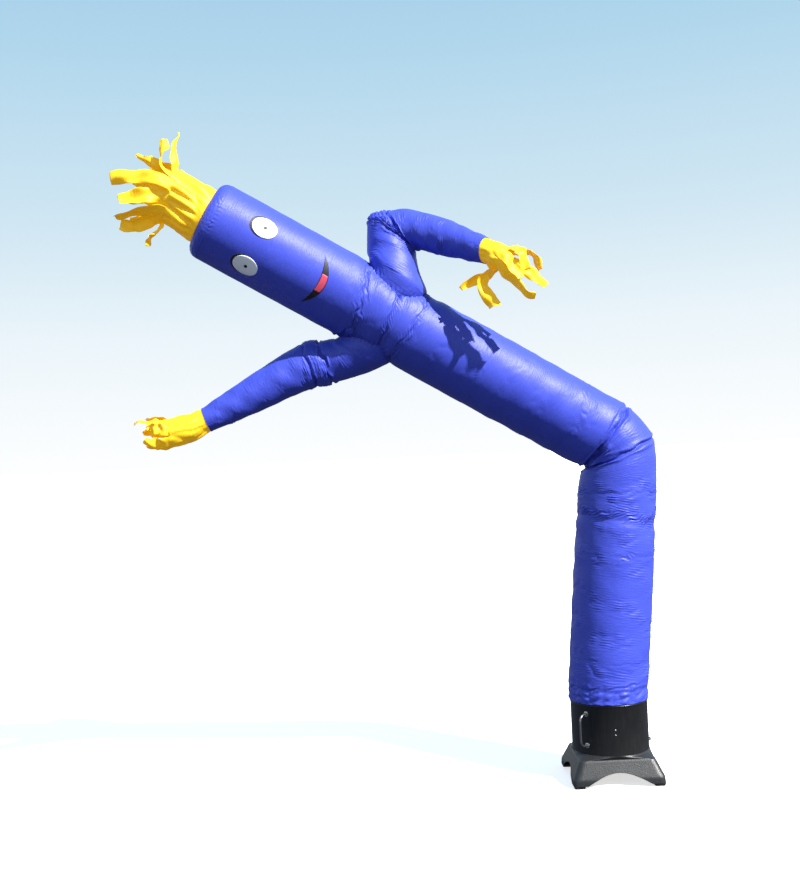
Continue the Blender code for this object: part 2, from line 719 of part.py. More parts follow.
def sweep(path, radius, sides, spin_axis):
    """A round bar along a path that lies in one upright plane."""
    bm = bmesh.new()
    loops = []
    for k, point in enumerate(path):
        ahead = (path[min(k + 1, len(path) - 1)] - path[max(k - 1, 0)]).normalized()
        side = ahead.cross(spin_axis).normalized()
        turns = [2 * pi * m / sides for m in range(sides)]
        points = [point + (side * cos(t) + spin_axis * sin(t)) * radius for t in turns]
        loops.append([bm.verts.new(p) for p in points])
    for near, far in zip(loops, loops[1:]):
        for m in range(sides):
            after = (m + 1) % sides
            bm.faces.new((near[m], near[after], far[after], far[m]))
    bm.faces.new(loops[0])
    bm.faces.new(loops[-1])
    bmesh.ops.recalc_face_normals(bm, faces=bm.faces)
    return bm


def handle_path():
    """From one mount out, down and back to the other, with a round bend at each end."""
    path = []
    for height, sign in ((HANDLE_TOP, -1), (HANDLE_BOTTOM, 1)):
        leg = []
        start, outward = collar_place(HANDLE_ANGLE, height, 0.0035)
        leg.append(start)
        for k in range(6):
            turn = k / 5 * pi / 2
            out = HANDLE_STANDOFF - HANDLE_BEND + HANDLE_BEND * sin(turn)
            rise = sign * HANDLE_BEND * (1 - cos(turn))
            point, outward = collar_place(HANDLE_ANGLE, height + rise, out)
            leg.append(point)
        path += leg if sign < 0 else list(reversed(leg))
    return path


def disc(name, centre, outward, radius, thickness, finish, sides=16, dome=0.0):
    """A round plate or screw head lying on the collar, its back just off the surface."""
    bm = bmesh.new()
    bmesh.ops.create_cone(
        bm,
        cap_ends=True,
        cap_tris=False,
        segments=sides,
        radius1=radius,
        radius2=radius - dome,
        depth=thickness,
    )
    turn = Vector((0.0, 0.0, 1.0)).rotation_difference(outward).to_matrix().to_4x4()
    move = Matrix.Translation(centre + outward * (thickness / 2))
    bmesh.ops.transform(bm, matrix=move @ turn, verts=bm.verts)
    return add_piece(name, bm, finish, smooth=40.0)


PLATE_RADIUS = 0.0150
PLATE_THICKNESS = 0.0030
SCREW_RADIUS = 0.0045
SCREW_HEAD = 0.0022


def make_handle():
    """A bent bar on two round mounts, each held by a screw beside the bar."""
    _, outward = collar_place(HANDLE_ANGLE, HANDLE_TOP)
    around = outward.cross(Vector((0.0, 0.0, 1.0)))
    bar = add_piece("handle", sweep(handle_path(), HANDLE_BAR, 12, around), STEEL)
    bar.location = (0.0, 0.0, 0.0)
    for name, height in (("upper", HANDLE_TOP), ("lower", HANDLE_BOTTOM)):
        seat, _ = collar_place(HANDLE_ANGLE, height, SEAM)
        disc(name + "_handle_mount", seat, outward, PLATE_RADIUS, PLATE_THICKNESS - SEAM - GAP, STEEL)


SIDE_SCREWS = (("upper_side_screw", 0.315), ("lower_side_screw", 0.287))
SIDE_SCREW_ANGLE = radians(-2.0)
GLAND_ANGLE = radians(79.0)
GLAND_HEIGHT = 0.213


def make_collar_fittings():
    """Two screw heads at the front, and the gland of the power lead at the right."""
    for name, height in SIDE_SCREWS:
        seat, outward = collar_place(SIDE_SCREW_ANGLE, height, GAP)
        disc(name, seat, outward, SCREW_RADIUS, SCREW_HEAD, STEEL, sides=12, dome=0.001)
    seat, outward = collar_place(GLAND_ANGLE, GLAND_HEIGHT, SEAM)
    disc("lead_gland", seat, outward, 0.0120, 0.0100, RUBBER, sides=16, dome=0.003)


MOTOR_LOW = 0.205
MOTOR_TOP = 0.365
MOTOR_RADIUS = 0.075
STRUT_HEIGHT = 0.030
STRUT_HALF = 0.008


def make_motor():
    """The plain motor in the middle of the duct, carried by four struts to the collar's wall."""
    shoulder = 0.012
    profile = (
        (MOTOR_RADIUS - shoulder, MOTOR_LOW),
        (MOTOR_RADIUS, MOTOR_LOW + shoulder),
        (MOTOR_RADIUS, MOTOR_TOP - shoulder),
        (MOTOR_RADIUS - shoulder, MOTOR_TOP),
    )
    bm = bmesh.new()
    sides = 24
    loops = []
    for r, z in profile:
        turns = [2 * pi * k / sides for k in range(sides)]
        loops.append([bm.verts.new((r * cos(t), r * sin(t), z)) for t in turns])
    for near, far in zip(loops, loops[1:]):
        for k in range(sides):
            after = (k + 1) % sides
            bm.faces.new((near[k], near[after], far[after], far[k]))
    bm.faces.new(list(reversed(loops[0])))
    bm.faces.new(loops[-1])
    motor = add_piece("motor", bm, MOTOR_METAL)
    middle = (MOTOR_LOW + MOTOR_TOP) / 2
    reach = (COLLAR_RADIUS - COLLAR_WALL) * cos(pi / COLLAR_SIDES) - SEAM
    for number in range(2):
        bar = bmesh.new()
        bmesh.ops.create_cube(bar, size=1.0)
        size = Matrix.Diagonal((2 * reach, 2 * STRUT_HALF, STRUT_HEIGHT, 1.0))
        turn = Matrix.Rotation(pi / 4 + number * pi / 2, 4, "Z")
        lift = Matrix.Translation((0.0, 0.0, middle))
        bmesh.ops.transform(bar, matrix=lift @ turn @ size, verts=bar.verts)
        joined = motor.modifiers.new("struts", "BOOLEAN")
        joined.operation = "UNION"
        joined.solver = "EXACT"
        joined.object = add_cutter(f"struts_{number}", bar)


def centre_on_floor():
    """Move everything so that the middle of the part's box is over the origin."""
    bpy.context.view_layer.update()
    graph = bpy.context.evaluated_depsgraph_get()
    lows, highs = [], []
    for piece in bpy.data.objects:
        if piece.hide_render:
            continue
        points = [piece.matrix_world @ vert.co for vert in piece.evaluated_get(graph).data.vertices]
        lows.append([min(p[axis] for p in points) for axis in range(2)])
        highs.append([max(p[axis] for p in points) for axis in range(2)])
    low = [min(values) for values in zip(*lows)]
    high = [max(values) for values in zip(*highs)]
    shift = Vector((-(low[0] + high[0]) / 2, -(low[1] + high[1]) / 2, 0.0))
    for piece in bpy.data.objects:
        piece.location += shift


def main():
    clear_scene()
    make_body_tube()
    make_arms()
    make_crown()
    make_slit_sleeve("hair", hair_rings(), HAIR_STRIPS, 0.020)
    right_hand = cuff_rings(RIGHT_ARM_ROWS) + side_rings(RIGHT_HAND_ROWS)
    make_slit_sleeve("right_hand", right_hand, RIGHT_HAND_STRIPS, 0.012)
    left_hand = cuff_rings(LEFT_ARM_ROWS) + side_rings(LEFT_HAND_ROWS)
    make_slit_sleeve("left_hand", left_hand, LEFT_HAND_STRIPS, 0.012)
    make_eyes()
    make_mouth()
    make_collar()
    make_base()
    make_feet()
    make_handle()
    make_collar_fittings()
    make_motor()
    centre_on_floor()


main()
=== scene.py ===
"""An inflatable air dancer, bent over at the knee on its blower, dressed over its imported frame.

The file is laid out as a Blender add-on and is run as a script. Sizes are in metres. Shapes are
worked out with the blower's axis at X = 0, Y = 0, as in the part's source, and each mesh is moved
by HUB when it is made. Cloth is a tube through a table of rings, and its folds, pleats and puckers
are vertex moves along the tube's own outward direction.
"""

from collections import namedtuple
from functools import lru_cache

import bmesh
import bpy
import numpy as np
from mathutils import Matrix, Vector


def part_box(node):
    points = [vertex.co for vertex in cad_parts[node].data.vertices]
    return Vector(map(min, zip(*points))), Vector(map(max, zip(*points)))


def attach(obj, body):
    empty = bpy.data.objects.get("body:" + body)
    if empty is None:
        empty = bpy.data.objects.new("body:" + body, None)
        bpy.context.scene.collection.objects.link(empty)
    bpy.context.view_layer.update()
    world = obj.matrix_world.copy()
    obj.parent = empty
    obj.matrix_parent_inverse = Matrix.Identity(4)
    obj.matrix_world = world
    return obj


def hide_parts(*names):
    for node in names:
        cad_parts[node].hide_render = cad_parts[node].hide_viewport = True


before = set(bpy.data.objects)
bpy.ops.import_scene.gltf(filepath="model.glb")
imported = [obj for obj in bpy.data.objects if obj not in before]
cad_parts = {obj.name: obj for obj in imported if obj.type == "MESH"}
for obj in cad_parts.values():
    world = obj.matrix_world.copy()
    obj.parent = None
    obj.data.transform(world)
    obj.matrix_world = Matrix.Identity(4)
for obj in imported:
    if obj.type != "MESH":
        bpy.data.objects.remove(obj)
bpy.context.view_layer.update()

bl_info = {
    "name": "Air Dancer",
    "version": (1, 0, 0),
    "blender": (4, 5, 0),
    "location": "View3D > Sidebar > Dancer",
    "description": "Dresses an inflatable tube dancer and its blower",
    "category": "Object",
}

_low, _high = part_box("blower_base")
HUB = np.array([(_low[0] + _high[0]) / 2, (_low[1] + _high[1]) / 2, 0.0])

# Driving sizes, the same as in the part's source
LEG_RADIUS = 0.2285
BODY_RADIUS = 0.2235
HEM_HEIGHT = 0.455
HEM_WIDTH = 0.054
LEG_LEAN = np.radians(5.3)
BODY_FOOT = np.array([-0.030, 0.0, 2.025])
BODY_RISE = np.radians(30.05)
BODY_TURN = np.radians(10.5)
HEAD_SEAM = 2.455
FACE_ANGLE = 99.0
CLOTH = 0.0015
SEAM = 0.0005

# Thickness of cloth whose cut edge shows, and of the moulded base
CROWN_WALL, STRIP_WALL, PATCH_WALL, BASE_WALL = 0.0008, 0.0007, 0.0006, 0.006

# A fold's line round a tube, then the sizes of its groove and of the pleats that cross it
Fold = namedtuple("Fold", "line width depth pleat pitch reach slant seed")
# A strip's angle round its sleeve, its end, its width and turn there, its sag and its first run
Strip = namedtuple("Strip", "angle x y z tip twist sag lead")
# A place in a tube's own measures, where a shape is asked how far the cloth is raised
Spot = namedtuple("Spot", "t turn point speed")

# Distance along the axis on the inner and the outer side, and how far the cloth is drawn in
LEG_ROWS = (
    (-0.004, 0.036, 0.0030),
    (0.026, 0.066, -0.0010),
    (0.240, 0.260, -0.0015),
    (0.560, 0.540, -0.0030),
    (0.850, 0.830, -0.0010),
    (0.960, 0.925, 0.0010),
    (1.015, 0.970, 0.0080),
    (1.070, 1.025, 0.0015),
    (1.155, 1.190, 0.0030),
)
# Inner and outer side as seen from the front (x, z each), then y and half the depth
KNEE_ROWS = (
    (-0.105, 1.748, 0.341, 1.830, 0.000, 0.2250),
    (-0.081, 1.793, 0.327, 1.962, 0.000, 0.2180),
    (-0.079, 1.803, 0.262, 2.070, 0.000, 0.2230),
    (-0.083, 1.812, 0.184, 2.151, 0.000, 0.2170),
)
BODY_ROWS = (
    (0.020, 0.000, 0.0005),
    (0.300, 0.280, -0.0010),
    (0.620, 0.600, -0.0030),
    (0.950, 0.930, -0.0020),
    (1.190, 1.120, 0.0000),
    (1.245, 1.160, 0.0045),
    (1.290, 1.270, -0.0015),
    (1.335, 1.365, 0.0075),
    (1.400, 1.465, -0.0010),
    (1.490, 1.580, 0.0085),
    (1.570, 1.660, 0.0000),
    (1.740, 1.740, 0.0000),
    (2.320, 2.320, 0.0000),
    (HEAD_SEAM, HEAD_SEAM, 0.0015),
)
# Distance past the head's seam, and radius
CROWN_ROWS = (
    (-0.0040, 0.2224),
    (0.0005, 0.2220),
    (0.0240, 0.2170),
    (0.0440, 0.2020),
    (0.0560, 0.1800),
    (0.0600, 0.1580),
)
# Arms, hair and hands in the same measures as the knee
RIGHT_ARM_ROWS = (
    (-1.050, 2.717, -1.330, 2.883, -0.240, 0.160),
    (-0.962, 2.832, -1.278, 3.020, -0.255, 0.158),
    (-0.994, 2.940, -1.286, 3.090, -0.240, 0.142),
    (-1.014, 3.050, -1.284, 3.165, -0.228, 0.130),
    (-1.020, 3.074, -1.276, 3.262, -0.222, 0.121),
    (-1.018, 3.084, -1.238, 3.305, -0.222, 0.123),
    (-1.010, 3.085, -1.165, 3.308, -0.228, 0.115),
    (-0.990, 3.077, -1.090, 3.316, -0.240, 0.119),
    (-0.925, 3.048, -0.960, 3.280, -0.285, 0.112),
    (-0.825, 3.008, -0.790, 3.200, -0.360, 0.100),
    (-0.652, 2.940, -0.622, 3.078, -0.500, 0.071),
)
LEFT_ARM_ROWS = (
    (-1.113, 2.569, -1.394, 2.735, -0.205, 0.155),
    (-1.180, 2.455, -1.472, 2.612, -0.182, 0.152),
    (-1.300, 2.408, -1.502, 2.603, -0.176, 0.140),
    (-1.415, 2.374, -1.535, 2.602, -0.172, 0.130),
    (-1.515, 2.352, -1.592, 2.594, -0.170, 0.120),
    (-1.558, 2.336, -1.640, 2.601, -0.170, 0.128),
    (-1.610, 2.332, -1.688, 2.584, -0.172, 0.120),
    (-1.682, 2.311, -1.795, 2.528, -0.175, 0.119),
    (-1.940, 2.208, -2.030, 2.388, -0.187, 0.096),
    (-2.219, 2.106, -2.268, 2.238, -0.200, 0.0705),
)
HAIR_ROWS = (
    (-2.308, 3.192, -2.175, 3.470, -0.411, 0.151),
    (-2.371, 3.246, -2.274, 3.518, -0.424, 0.145),
)
RIGHT_HAND_ROWS = (
    (-0.636, 2.931, -0.585, 3.056, -0.508, 0.0690),
    (-0.622, 2.911, -0.540, 3.036, -0.522, 0.0720),
)
LEFT_HAND_ROWS = (
    (-2.325, 2.050, -2.340, 2.210, -0.205, 0.0790),
    (-2.430, 2.025, -2.435, 2.192, -0.210, 0.0800),
)
HAIR_STRIPS = (
    Strip(15, -2.293, -0.430, 3.747, 0.10, 30, 0.00, 0.15),
    Strip(45, -2.365, -0.470, 3.706, 0.60, 150, 0.05, 0.75),
    Strip(75, -2.645, -0.550, 3.486, 1.05, -25, -0.03, 0.35),
    Strip(105, -2.589, -0.600, 3.345, 0.95, 60, -0.02, 0.30),
    Strip(135, -2.638, -0.500, 3.289, 0.85, -50, 0.00, 0.30),
    Strip(165, -2.625, -0.420, 3.262, 0.80, 50, 0.04, 0.25),
    Strip(195, -2.486, -0.460, 3.165, 0.75, 40, 0.03, 0.15),
    Strip(225, -2.600, -0.330, 3.290, 0.90, -60, 0.04, 0.25),
    Strip(255, -2.640, -0.290, 3.420, 0.90, 50, 0.01, 0.35),
    Strip(285, -2.600, -0.240, 3.540, 0.70, -80, 0.00, 0.35),
    Strip(315, -2.490, -0.260, 3.610, 0.60, 60, 0.00, 0.35),
    Strip(345, -2.525, -0.420, 3.640, 0.15, 40, 0.02, 0.45),
)
RIGHT_HAND_STRIPS = (
    Strip(26, -0.352, -0.500, 2.890, 1.00, 30, -0.115, 0.50),
    Strip(77, -0.322, -0.540, 2.800, 0.80, -40, -0.03, 0.45),
    Strip(129, -0.781, -0.470, 2.811, 0.50, 110, -0.02, -0.05),
    Strip(180, -0.616, -0.560, 2.696, 1.15, 115, 0.02, -0.35),
    Strip(231, -0.397, -0.590, 2.724, 0.95, 30, 0.05, 0.20),
    Strip(283, -0.475, -0.620, 2.830, 0.90, -30, -0.02, 0.30),
    Strip(334, -0.440, -0.590, 2.880, 0.95, 40, -0.110, 0.45),
)
LEFT_HAND_STRIPS = (
    Strip(26, -2.658, -0.200, 2.171, 0.30, 20, -0.02, 0.35),
    Strip(77, -2.570, -0.262, 2.135, 0.30, -20, -0.02, 0.35),
    Strip(129, -2.585, -0.275, 2.070, 0.55, 20, 0.03, 0.35),
    Strip(180, -2.581, -0.230, 2.042, 0.80, -20, 0.03, 0.25),
    Strip(231, -2.605, -0.150, 2.085, 0.80, 20, 0.02, 0.30),
    Strip(283, -2.621, -0.140, 2.120, 0.50, -30, -0.01, 0.35),
    Strip(334, -2.590, -0.160, 2.180, 0.40, 20, -0.03, 0.35),
)


def unit(vectors):
    """Vectors of length one."""
    return vectors / np.maximum(np.linalg.norm(vectors, axis=-1, keepdims=True), 1e-12)


def ease(low, high, x):
    """From 0 at low to 1 at high, smooth at both ends."""
    t = np.clip((x - low) / (high - low), 0.0, 1.0)
    return t * t * (3 - 2 * t)


def bell(x, width):
    """1 at 0, and falling off smoothly over a width on both sides."""
    return np.exp(-((x / width) ** 2))


def waves(q, seed, around, along, count=18):
    """Seeded smooth noise through space, about 1 high, with one pitch across Z and one along it."""
    rng = np.random.default_rng(seed)
    total = 0.0
    for _ in range(count):
        across = unit(rng.normal(0.0, 1.0, 2)) * rng.uniform(0.6, 1.3) / around
        ahead = rng.uniform(0.6, 1.3) * rng.choice((-1.0, 1.0)) / along
        way = 2 * np.pi * np.array([across[0], across[1], ahead])
        total = total + np.cos(q @ way + rng.uniform(0.0, 2 * np.pi))
    return total / np.sqrt(count / 2)


def crease(away, depth, width):
    """A sharp valley, with the cloth standing proud on both sides of it."""
    away = np.abs(away)
    return depth * (0.4 * bell(away - 2.4 * width, 1.5 * width) - np.exp(-away / width))


class Tube:
    """A tube of cloth through a table of rings, each a centre, an up and a front vector."""

    def __init__(self, rings, shape=None):
        self.rings = np.array(rings, dtype=float)
        step = np.diff(self.rings, axis=0)
        reach = (step**2).sum(axis=2) @ np.array([1.0, 0.5, 0.5])
        self.knots = np.concatenate([[0.0], np.cumsum(np.sqrt(reach))])
        gaps = np.diff(self.knots)
        rise = step / gaps[:, None, None]
        self.slopes = np.zeros_like(self.rings)
        self.slopes[0], self.slopes[-1] = rise[0], rise[-1]
        before, after = rise[:-1], rise[1:]
        same = before * after > 0
        one = (2 * gaps[1:] + gaps[:-1])[:, None, None]
        two = (gaps[1:] + 2 * gaps[:-1])[:, None, None]
        mean = (one + two) / (one / np.where(same, before, 1) + two / np.where(same, after, 1))
        self.slopes[1:-1] = np.where(same, mean, 0.0)
        self.shape = shape

    def plain(self, t, turn):
        """The undisturbed surface, where turn runs from the up vector to the front one."""
        t, turn = np.broadcast_arrays(np.asarray(t, float), np.asarray(turn, float))
        k = np.clip(np.searchsorted(self.knots, t, "right") - 1, 0, len(self.knots) - 2)
        gap = (self.knots[k + 1] - self.knots[k])[..., None, None]
        x = ((t - self.knots[k])[..., None, None]) / gap
        value = (
            self.rings[k] * ((1 + 2 * x) * (1 - x) ** 2)
            + self.slopes[k] * (gap * x * (1 - x) ** 2)
            + self.rings[k + 1] * (x * x * (3 - 2 * x))
            + self.slopes[k + 1] * (gap * x * x * (x - 1))
        )
        up, front = value[..., 1, :], value[..., 2, :]
        return value[..., 0, :] + up * np.cos(turn)[..., None] + front * np.sin(turn)[..., None]

    def at(self, t, turn, lift=0.0):
        """Points on the finished cloth, raised off it by a lift, and its outward direction."""
        low, high = self.knots[0], self.knots[-1]
        before, after = np.clip(t - 0.0004, low, high), np.clip(t + 0.0004, low, high)
        ahead = (self.plain(after, turn) - self.plain(before, turn)) / (after - before)[..., None]
        round_way = self.plain(t, turn + 0.002) - self.plain(t, turn - 0.002)
        outward = unit(np.cross(ahead, round_way))
        point = self.plain(t, turn)
        moved = lift
        if self.shape:
            t, turn = np.broadcast_arrays(np.asarray(t, float), np.asarray(turn, float))
            moved = moved + self.shape(Spot(t, turn, point, np.linalg.norm(ahead, axis=-1)))
        return point + outward * np.asarray(moved)[..., None], outward

    def rows(self, pitches, first=0, last=None):
        """Places for rows of points, as far apart on the longer side as each stretch asks."""
        last = len(self.knots) - 1 if last is None else last
        sides = np.radians(np.arange(0, 360, 30))
        places = [self.knots[first]]
        for k, pitch in zip(range(first, last), pitches):
            inside = np.linspace(self.knots[k], self.knots[k + 1], 5)[:, None]
            path = np.linalg.norm(np.diff(self.plain(inside, sides), axis=0), axis=2).sum(axis=0)
            count = max(1, int(np.ceil(path.max() / pitch)))
            places += list(np.linspace(self.knots[k], self.knots[k + 1], count + 1)[1:])
        return np.array(places)


def cylinder_rings(rows, foot, along, outward, radius):
    """Rings of a straight tube, slanted where the inner and the outer distance differ."""
    front = np.cross(outward, along)
    rings = []
    for inner, outer, drawn in rows:
        size = radius - drawn
        slant = along * ((outer - inner) / 2)
        rings.append((foot + along * ((inner + outer) / 2), outward * size + slant, front * size))
    return rings


def side_rings(rows):
    """Rings from the two sides of a tube as seen from the front."""
    inner = np.array([(row[0], row[4], row[1]) for row in rows])
    outer = np.array([(row[2], row[4], row[3]) for row in rows])
    middle = (inner + outer) / 2
    rings = []
    for k, row in enumerate(rows):
        ahead = middle[min(k + 1, len(rows) - 1)] - middle[max(k - 1, 0)]
        up = outer[k] - middle[k]
        rings.append((middle[k], up, unit(np.cross(up, ahead)) * row[5]))
    return rings


LEG_FOOT = np.array([0.0, 0.0, HEM_HEIGHT + HEM_WIDTH])
LEG_ALONG = np.array([np.sin(LEG_LEAN), 0.0, np.cos(LEG_LEAN)])
LEG_OUT = np.array([np.cos(LEG_LEAN), 0.0, -np.sin(LEG_LEAN)])
BODY_ALONG = np.array(
    [
        -np.cos(BODY_TURN) * np.cos(BODY_RISE),
        -np.sin(BODY_TURN) * np.cos(BODY_RISE),
        np.sin(BODY_RISE),
    ]
)
BODY_FRONT = unit(np.array([0.0, -1.0, 0.0]) + BODY_ALONG * BODY_ALONG[1])
BODY_UP = np.cross(BODY_ALONG, BODY_FRONT)

# The hem's cloth is turned in under itself: radius and height of each ring
HEM_ROWS = ((0.2267, 0.4630), (0.2269, 0.4562), (0.2277, 0.4546), (0.2286, 0.4568), (0.2285, 0.509))


def hem_rings():
    """Level rings round the collar."""
    return [((0, 0, z), (r, 0, 0), (0, -r, 0)) for r, z in HEM_ROWS]


# Line of each fold as (angle in degrees, distance), then its sizes
LEG_FOLDS = (
    Fold(
        ((27, 1.074), (51.5, 0.998), (95, 1.013), (141, 1.029)),
        0.010, 0.0010, 0.0080, 0.044, 0.020, 2.6, 11,
    ),
    Fold(
        ((30, 0.078), (103, 0.032), (127, 0.019), (180, 0.004)),
        0.007, 0.0048, 0.0028, 0.026, 0.022, 0.5, 12,
    ),
    Fold(((60, 0.176), (110, 0.180)), 0.010, 0.0014, 0.0014, 0.040, 0.022, 2.8, 13),
    Fold(((60, 0.115), (110, 0.112)), 0.010, 0.0012, 0.0012, 0.036, 0.022, 2.8, 14),
    Fold(((40, 0.792), (120, 0.780)), 0.014, 0.0022, 0.0026, 0.040, 0.030, 2.0, 15),
    Fold(((40, 1.150), (130, 1.136)), 0.012, 0.0026, 0.0026, 0.032, 0.032, 2.4, 16),
)
BODY_FOLDS = (
    Fold(
        ((10, 1.592), (34, 1.602), (86, 1.555), (133, 1.527)),
        0.010, 0.0084, 0.0060, 0.027, 0.034, 1.9, 21,
    ),
    Fold(
        ((30, 1.384), (52, 1.382), (95, 1.368), (134, 1.349)),
        0.008, 0.0078, 0.0048, 0.026, 0.026, 1.7, 22,
    ),
    Fold(((70, 1.222), (95, 1.230), (125, 1.253)), 0.008, 0.0064, 0.0036, 0.022, 0.026, 1.3, 23),
    Fold(((48, 0.809), (79, 0.791)), 0.010, 0.0018, 0.0018, 0.030, 0.024, 1.8, 24),
    Fold(((50, 0.165), (100, 0.150)), 0.012, 0.0018, 0.0020, 0.034, 0.034, 1.8, 26),
)

# Numbers of the rings where the parts of the trunk start or end, and of an arm's middle bend
HEM_EDGE, HEM_TOP, LEG_END, KNEE, BODY, ELBOW = 3, 4, 13, 14, 18, 5
# Ring, depth and width of each sharp crease
KNEE_CREASES = ((KNEE + 1, 0.0200, 0.0085), (KNEE + 3, 0.0220, 0.0085))
ELBOW_CREASES = {
    "right": ((ELBOW - 1, 0.0130, 0.0080), (ELBOW + 1, 0.0150, 0.0075)),
    "left": ((ELBOW - 1, 0.0140, 0.0070), (ELBOW + 1, 0.0140, 0.0070)),
}
KNEE_RADIUS = 0.22
ARM_RADIUS = 0.13
FOLD_FADE = 1.1
LEG_RIPPLE = 0.0027
BODY_RIPPLE = 0.0012
SWELL = 0.0012
HEM_FACET = 0.0040
SEAM_PUCKER = 0.0234
KNEE_PUCKER = 0.026
ROOT_PUCKERS = 44


def axis_place(points, foot, along, outward):
    """How far along an axis points are, and at what angle round it."""
    away = points - foot
    front = np.cross(outward, along)
    return away @ along, np.arctan2(away @ front, away @ outward)


def wrapped(angle, along, radius):
    """A tube's cloth as points in space, where noise meets itself all the way round."""
    return np.stack([radius * np.cos(angle), radius * np.sin(angle), along], axis=-1)


def patchy(noise, middle, swing, low, high):
    """How strong something is from place to place."""
    return np.clip(middle + swing * noise, low, high)


def slack(q, seed, around, along, count):
    """Rounded ridges with sharp valleys between them, as loose cloth lies, about 0 on average."""
    return np.abs(waves(q, seed, around, along, count)) - 0.8


def fold_line(fold, angle):
    """Where a fold runs, as a distance for each angle, closed smoothly round the back."""
    turns = np.radians([row[0] for row in fold.line])
    places = [row[1] for row in fold.line]
    middle = sum(places) / len(places)
    turns = np.concatenate([turns, [turns[-1] + FOLD_FADE, turns[0] + 2 * np.pi - FOLD_FADE]])
    order = np.argsort(turns)
    values = np.array(places + [middle, middle])[order]
    return np.interp(angle, turns[order], values, period=2 * np.pi)


def fold_relief(fold, s, angle, radius):
    """One crumpled fold round a tube: a groove crossed by slanting pleats like a rope's strands."""
    away = s - fold_line(fold, angle)
    q = wrapped(angle, s, radius)
    uneven = waves(q, fold.seed, 0.16, 0.16, 10)
    wander = waves(q, fold.seed + 1, 0.09, 0.09, 10)
    away = away + 0.006 * wander
    strength = patchy(uneven, 0.72, 0.34, 0.18, 1.3)
    phase = 2 * np.pi * (radius * angle + fold.slant * away) / fold.pitch + 0.7 * wander
    strand = 1.6 * np.abs(np.cos(phase / 2)) ** 1.4 - 0.4
    groove = -fold.depth * bell(away, fold.width)
    shoulder = 0.28 * fold.depth * bell(np.abs(away) - 2.1 * fold.width, fold.width)
    return strength * (groove + shoulder + fold.pleat * strand * bell(away, fold.reach))


def ripples(s, angle, radius, seed, depth):
    """Low ripples across a tube, in patches, which loose cloth shows where it is pressed short."""
    q = wrapped(angle, s, radius)
    patch = ease(-0.6, 1.2, waves(q, seed, 0.30, 0.22, 12))
    fine = slack(q, seed + 1, 0.13, 0.026, 16)
    broad = waves(q, seed + 2, 0.30, 0.17, 12)
    return depth * (patch * fine - 0.1) + SWELL * broad


def tube_shape(spot):
    """Folds, creases and puckers of the leg, the knee and the body."""
    knots = trunk_plain().knots
    hem_top = knots[HEM_TOP]
    leg_s, leg_a = axis_place(spot.point, LEG_FOOT, LEG_ALONG, LEG_OUT)
    body_s, body_a = axis_place(spot.point, BODY_FOOT, BODY_ALONG, BODY_UP)
    on_leg = ease(knots[KNEE], knots[LEG_END] - 0.02, spot.t)
    on_body = ease(knots[BODY] - 0.02, knots[BODY] + 0.06, spot.t)
    above_hem = ease(hem_top - 0.002, hem_top + 0.03, spot.t)
    move = on_leg * above_hem * ripples(leg_s, leg_a, LEG_RADIUS, 31, LEG_RIPPLE)
    for fold in LEG_FOLDS:
        relief = fold_relief(fold, leg_s, leg_a, LEG_RADIUS)
        move = move + on_leg * ease(knots[HEM_EDGE], hem_top, spot.t) * relief
    still = 1 - 0.75 * ease(1.66, 1.76, body_s)
    move = move + on_body * still * ripples(body_s, body_a, BODY_RADIUS, 41, BODY_RIPPLE)
    for fold in BODY_FOLDS:
        move = move + on_body * fold_relief(fold, body_s, body_a, BODY_RADIUS)
    move = move + hem_relief(spot) + knee_relief(spot)
    # Small puckers gather along the head seam
    near_seam = np.exp(-np.maximum(HEAD_SEAM - body_s, 0.0) / 0.020) * on_body
    q = wrapped(body_a, body_s, BODY_RADIUS)
    gather = patchy(waves(q, 52, 0.12, 0.3, 10), 0.5, 0.6, 0.05, 1.4)
    turn = 2 * np.pi * BODY_RADIUS * body_a / SEAM_PUCKER
    strand = np.cos(turn + 0.9 * waves(q, 53, 0.07, 0.08, 10))
    move = move + 0.0016 * near_seam * gather * strand
    return move + root_puckers_on_body(spot)


def hem_relief(spot):
    """The flat crumpled facets of the hem, pulled tight over the collar."""
    knots = trunk_plain().knots
    edge, top = knots[HEM_EDGE], knots[HEM_TOP]
    on_hem = ease(edge - 0.002, edge + 0.006, spot.t) * (1 - ease(top, top + 0.03, spot.t))
    facets = np.abs(waves(spot.point, 61, 0.085, 0.100, 12)) - 0.75
    small = np.abs(waves(spot.point, 62, 0.040, 0.045, 14)) - 0.75
    return on_hem * (HEM_FACET * facets + 0.0006 * small)


def knee_relief(spot):
    """The two sharp creases that radiate from the inner corner, with puckers beside them."""
    knots = trunk_plain().knots
    q = wrapped(spot.turn, spot.t * 1.4, KNEE_RADIUS)
    wander = waves(q, 71, 0.14, 0.14, 12)
    uneven = patchy(waves(q, 72, 0.20, 0.20, 10), 0.9, 0.3, 0.45, 1.35)
    inside = 0.5 - 0.5 * np.cos(spot.turn)
    pucker = np.cos(2 * np.pi * KNEE_RADIUS * spot.turn / KNEE_PUCKER + 1.4 * wander)
    move = 0.0
    for knot, depth, width in KNEE_CREASES:
        away = (spot.t - knots[knot]) * spot.speed + 0.004 * wander
        move = move + (0.70 + 0.45 * inside) * uneven * crease(away, depth, width)
        move = move + 0.0007 * uneven * pucker * np.exp(-np.abs(away) / 0.024)
    near = ease(knots[LEG_END], knots[KNEE], spot.t) * (1 - ease(knots[BODY], knots[BODY + 1], spot.t))
    return move * near + near * 0.0004 * slack(q, 73, 0.075, 0.040, 16)


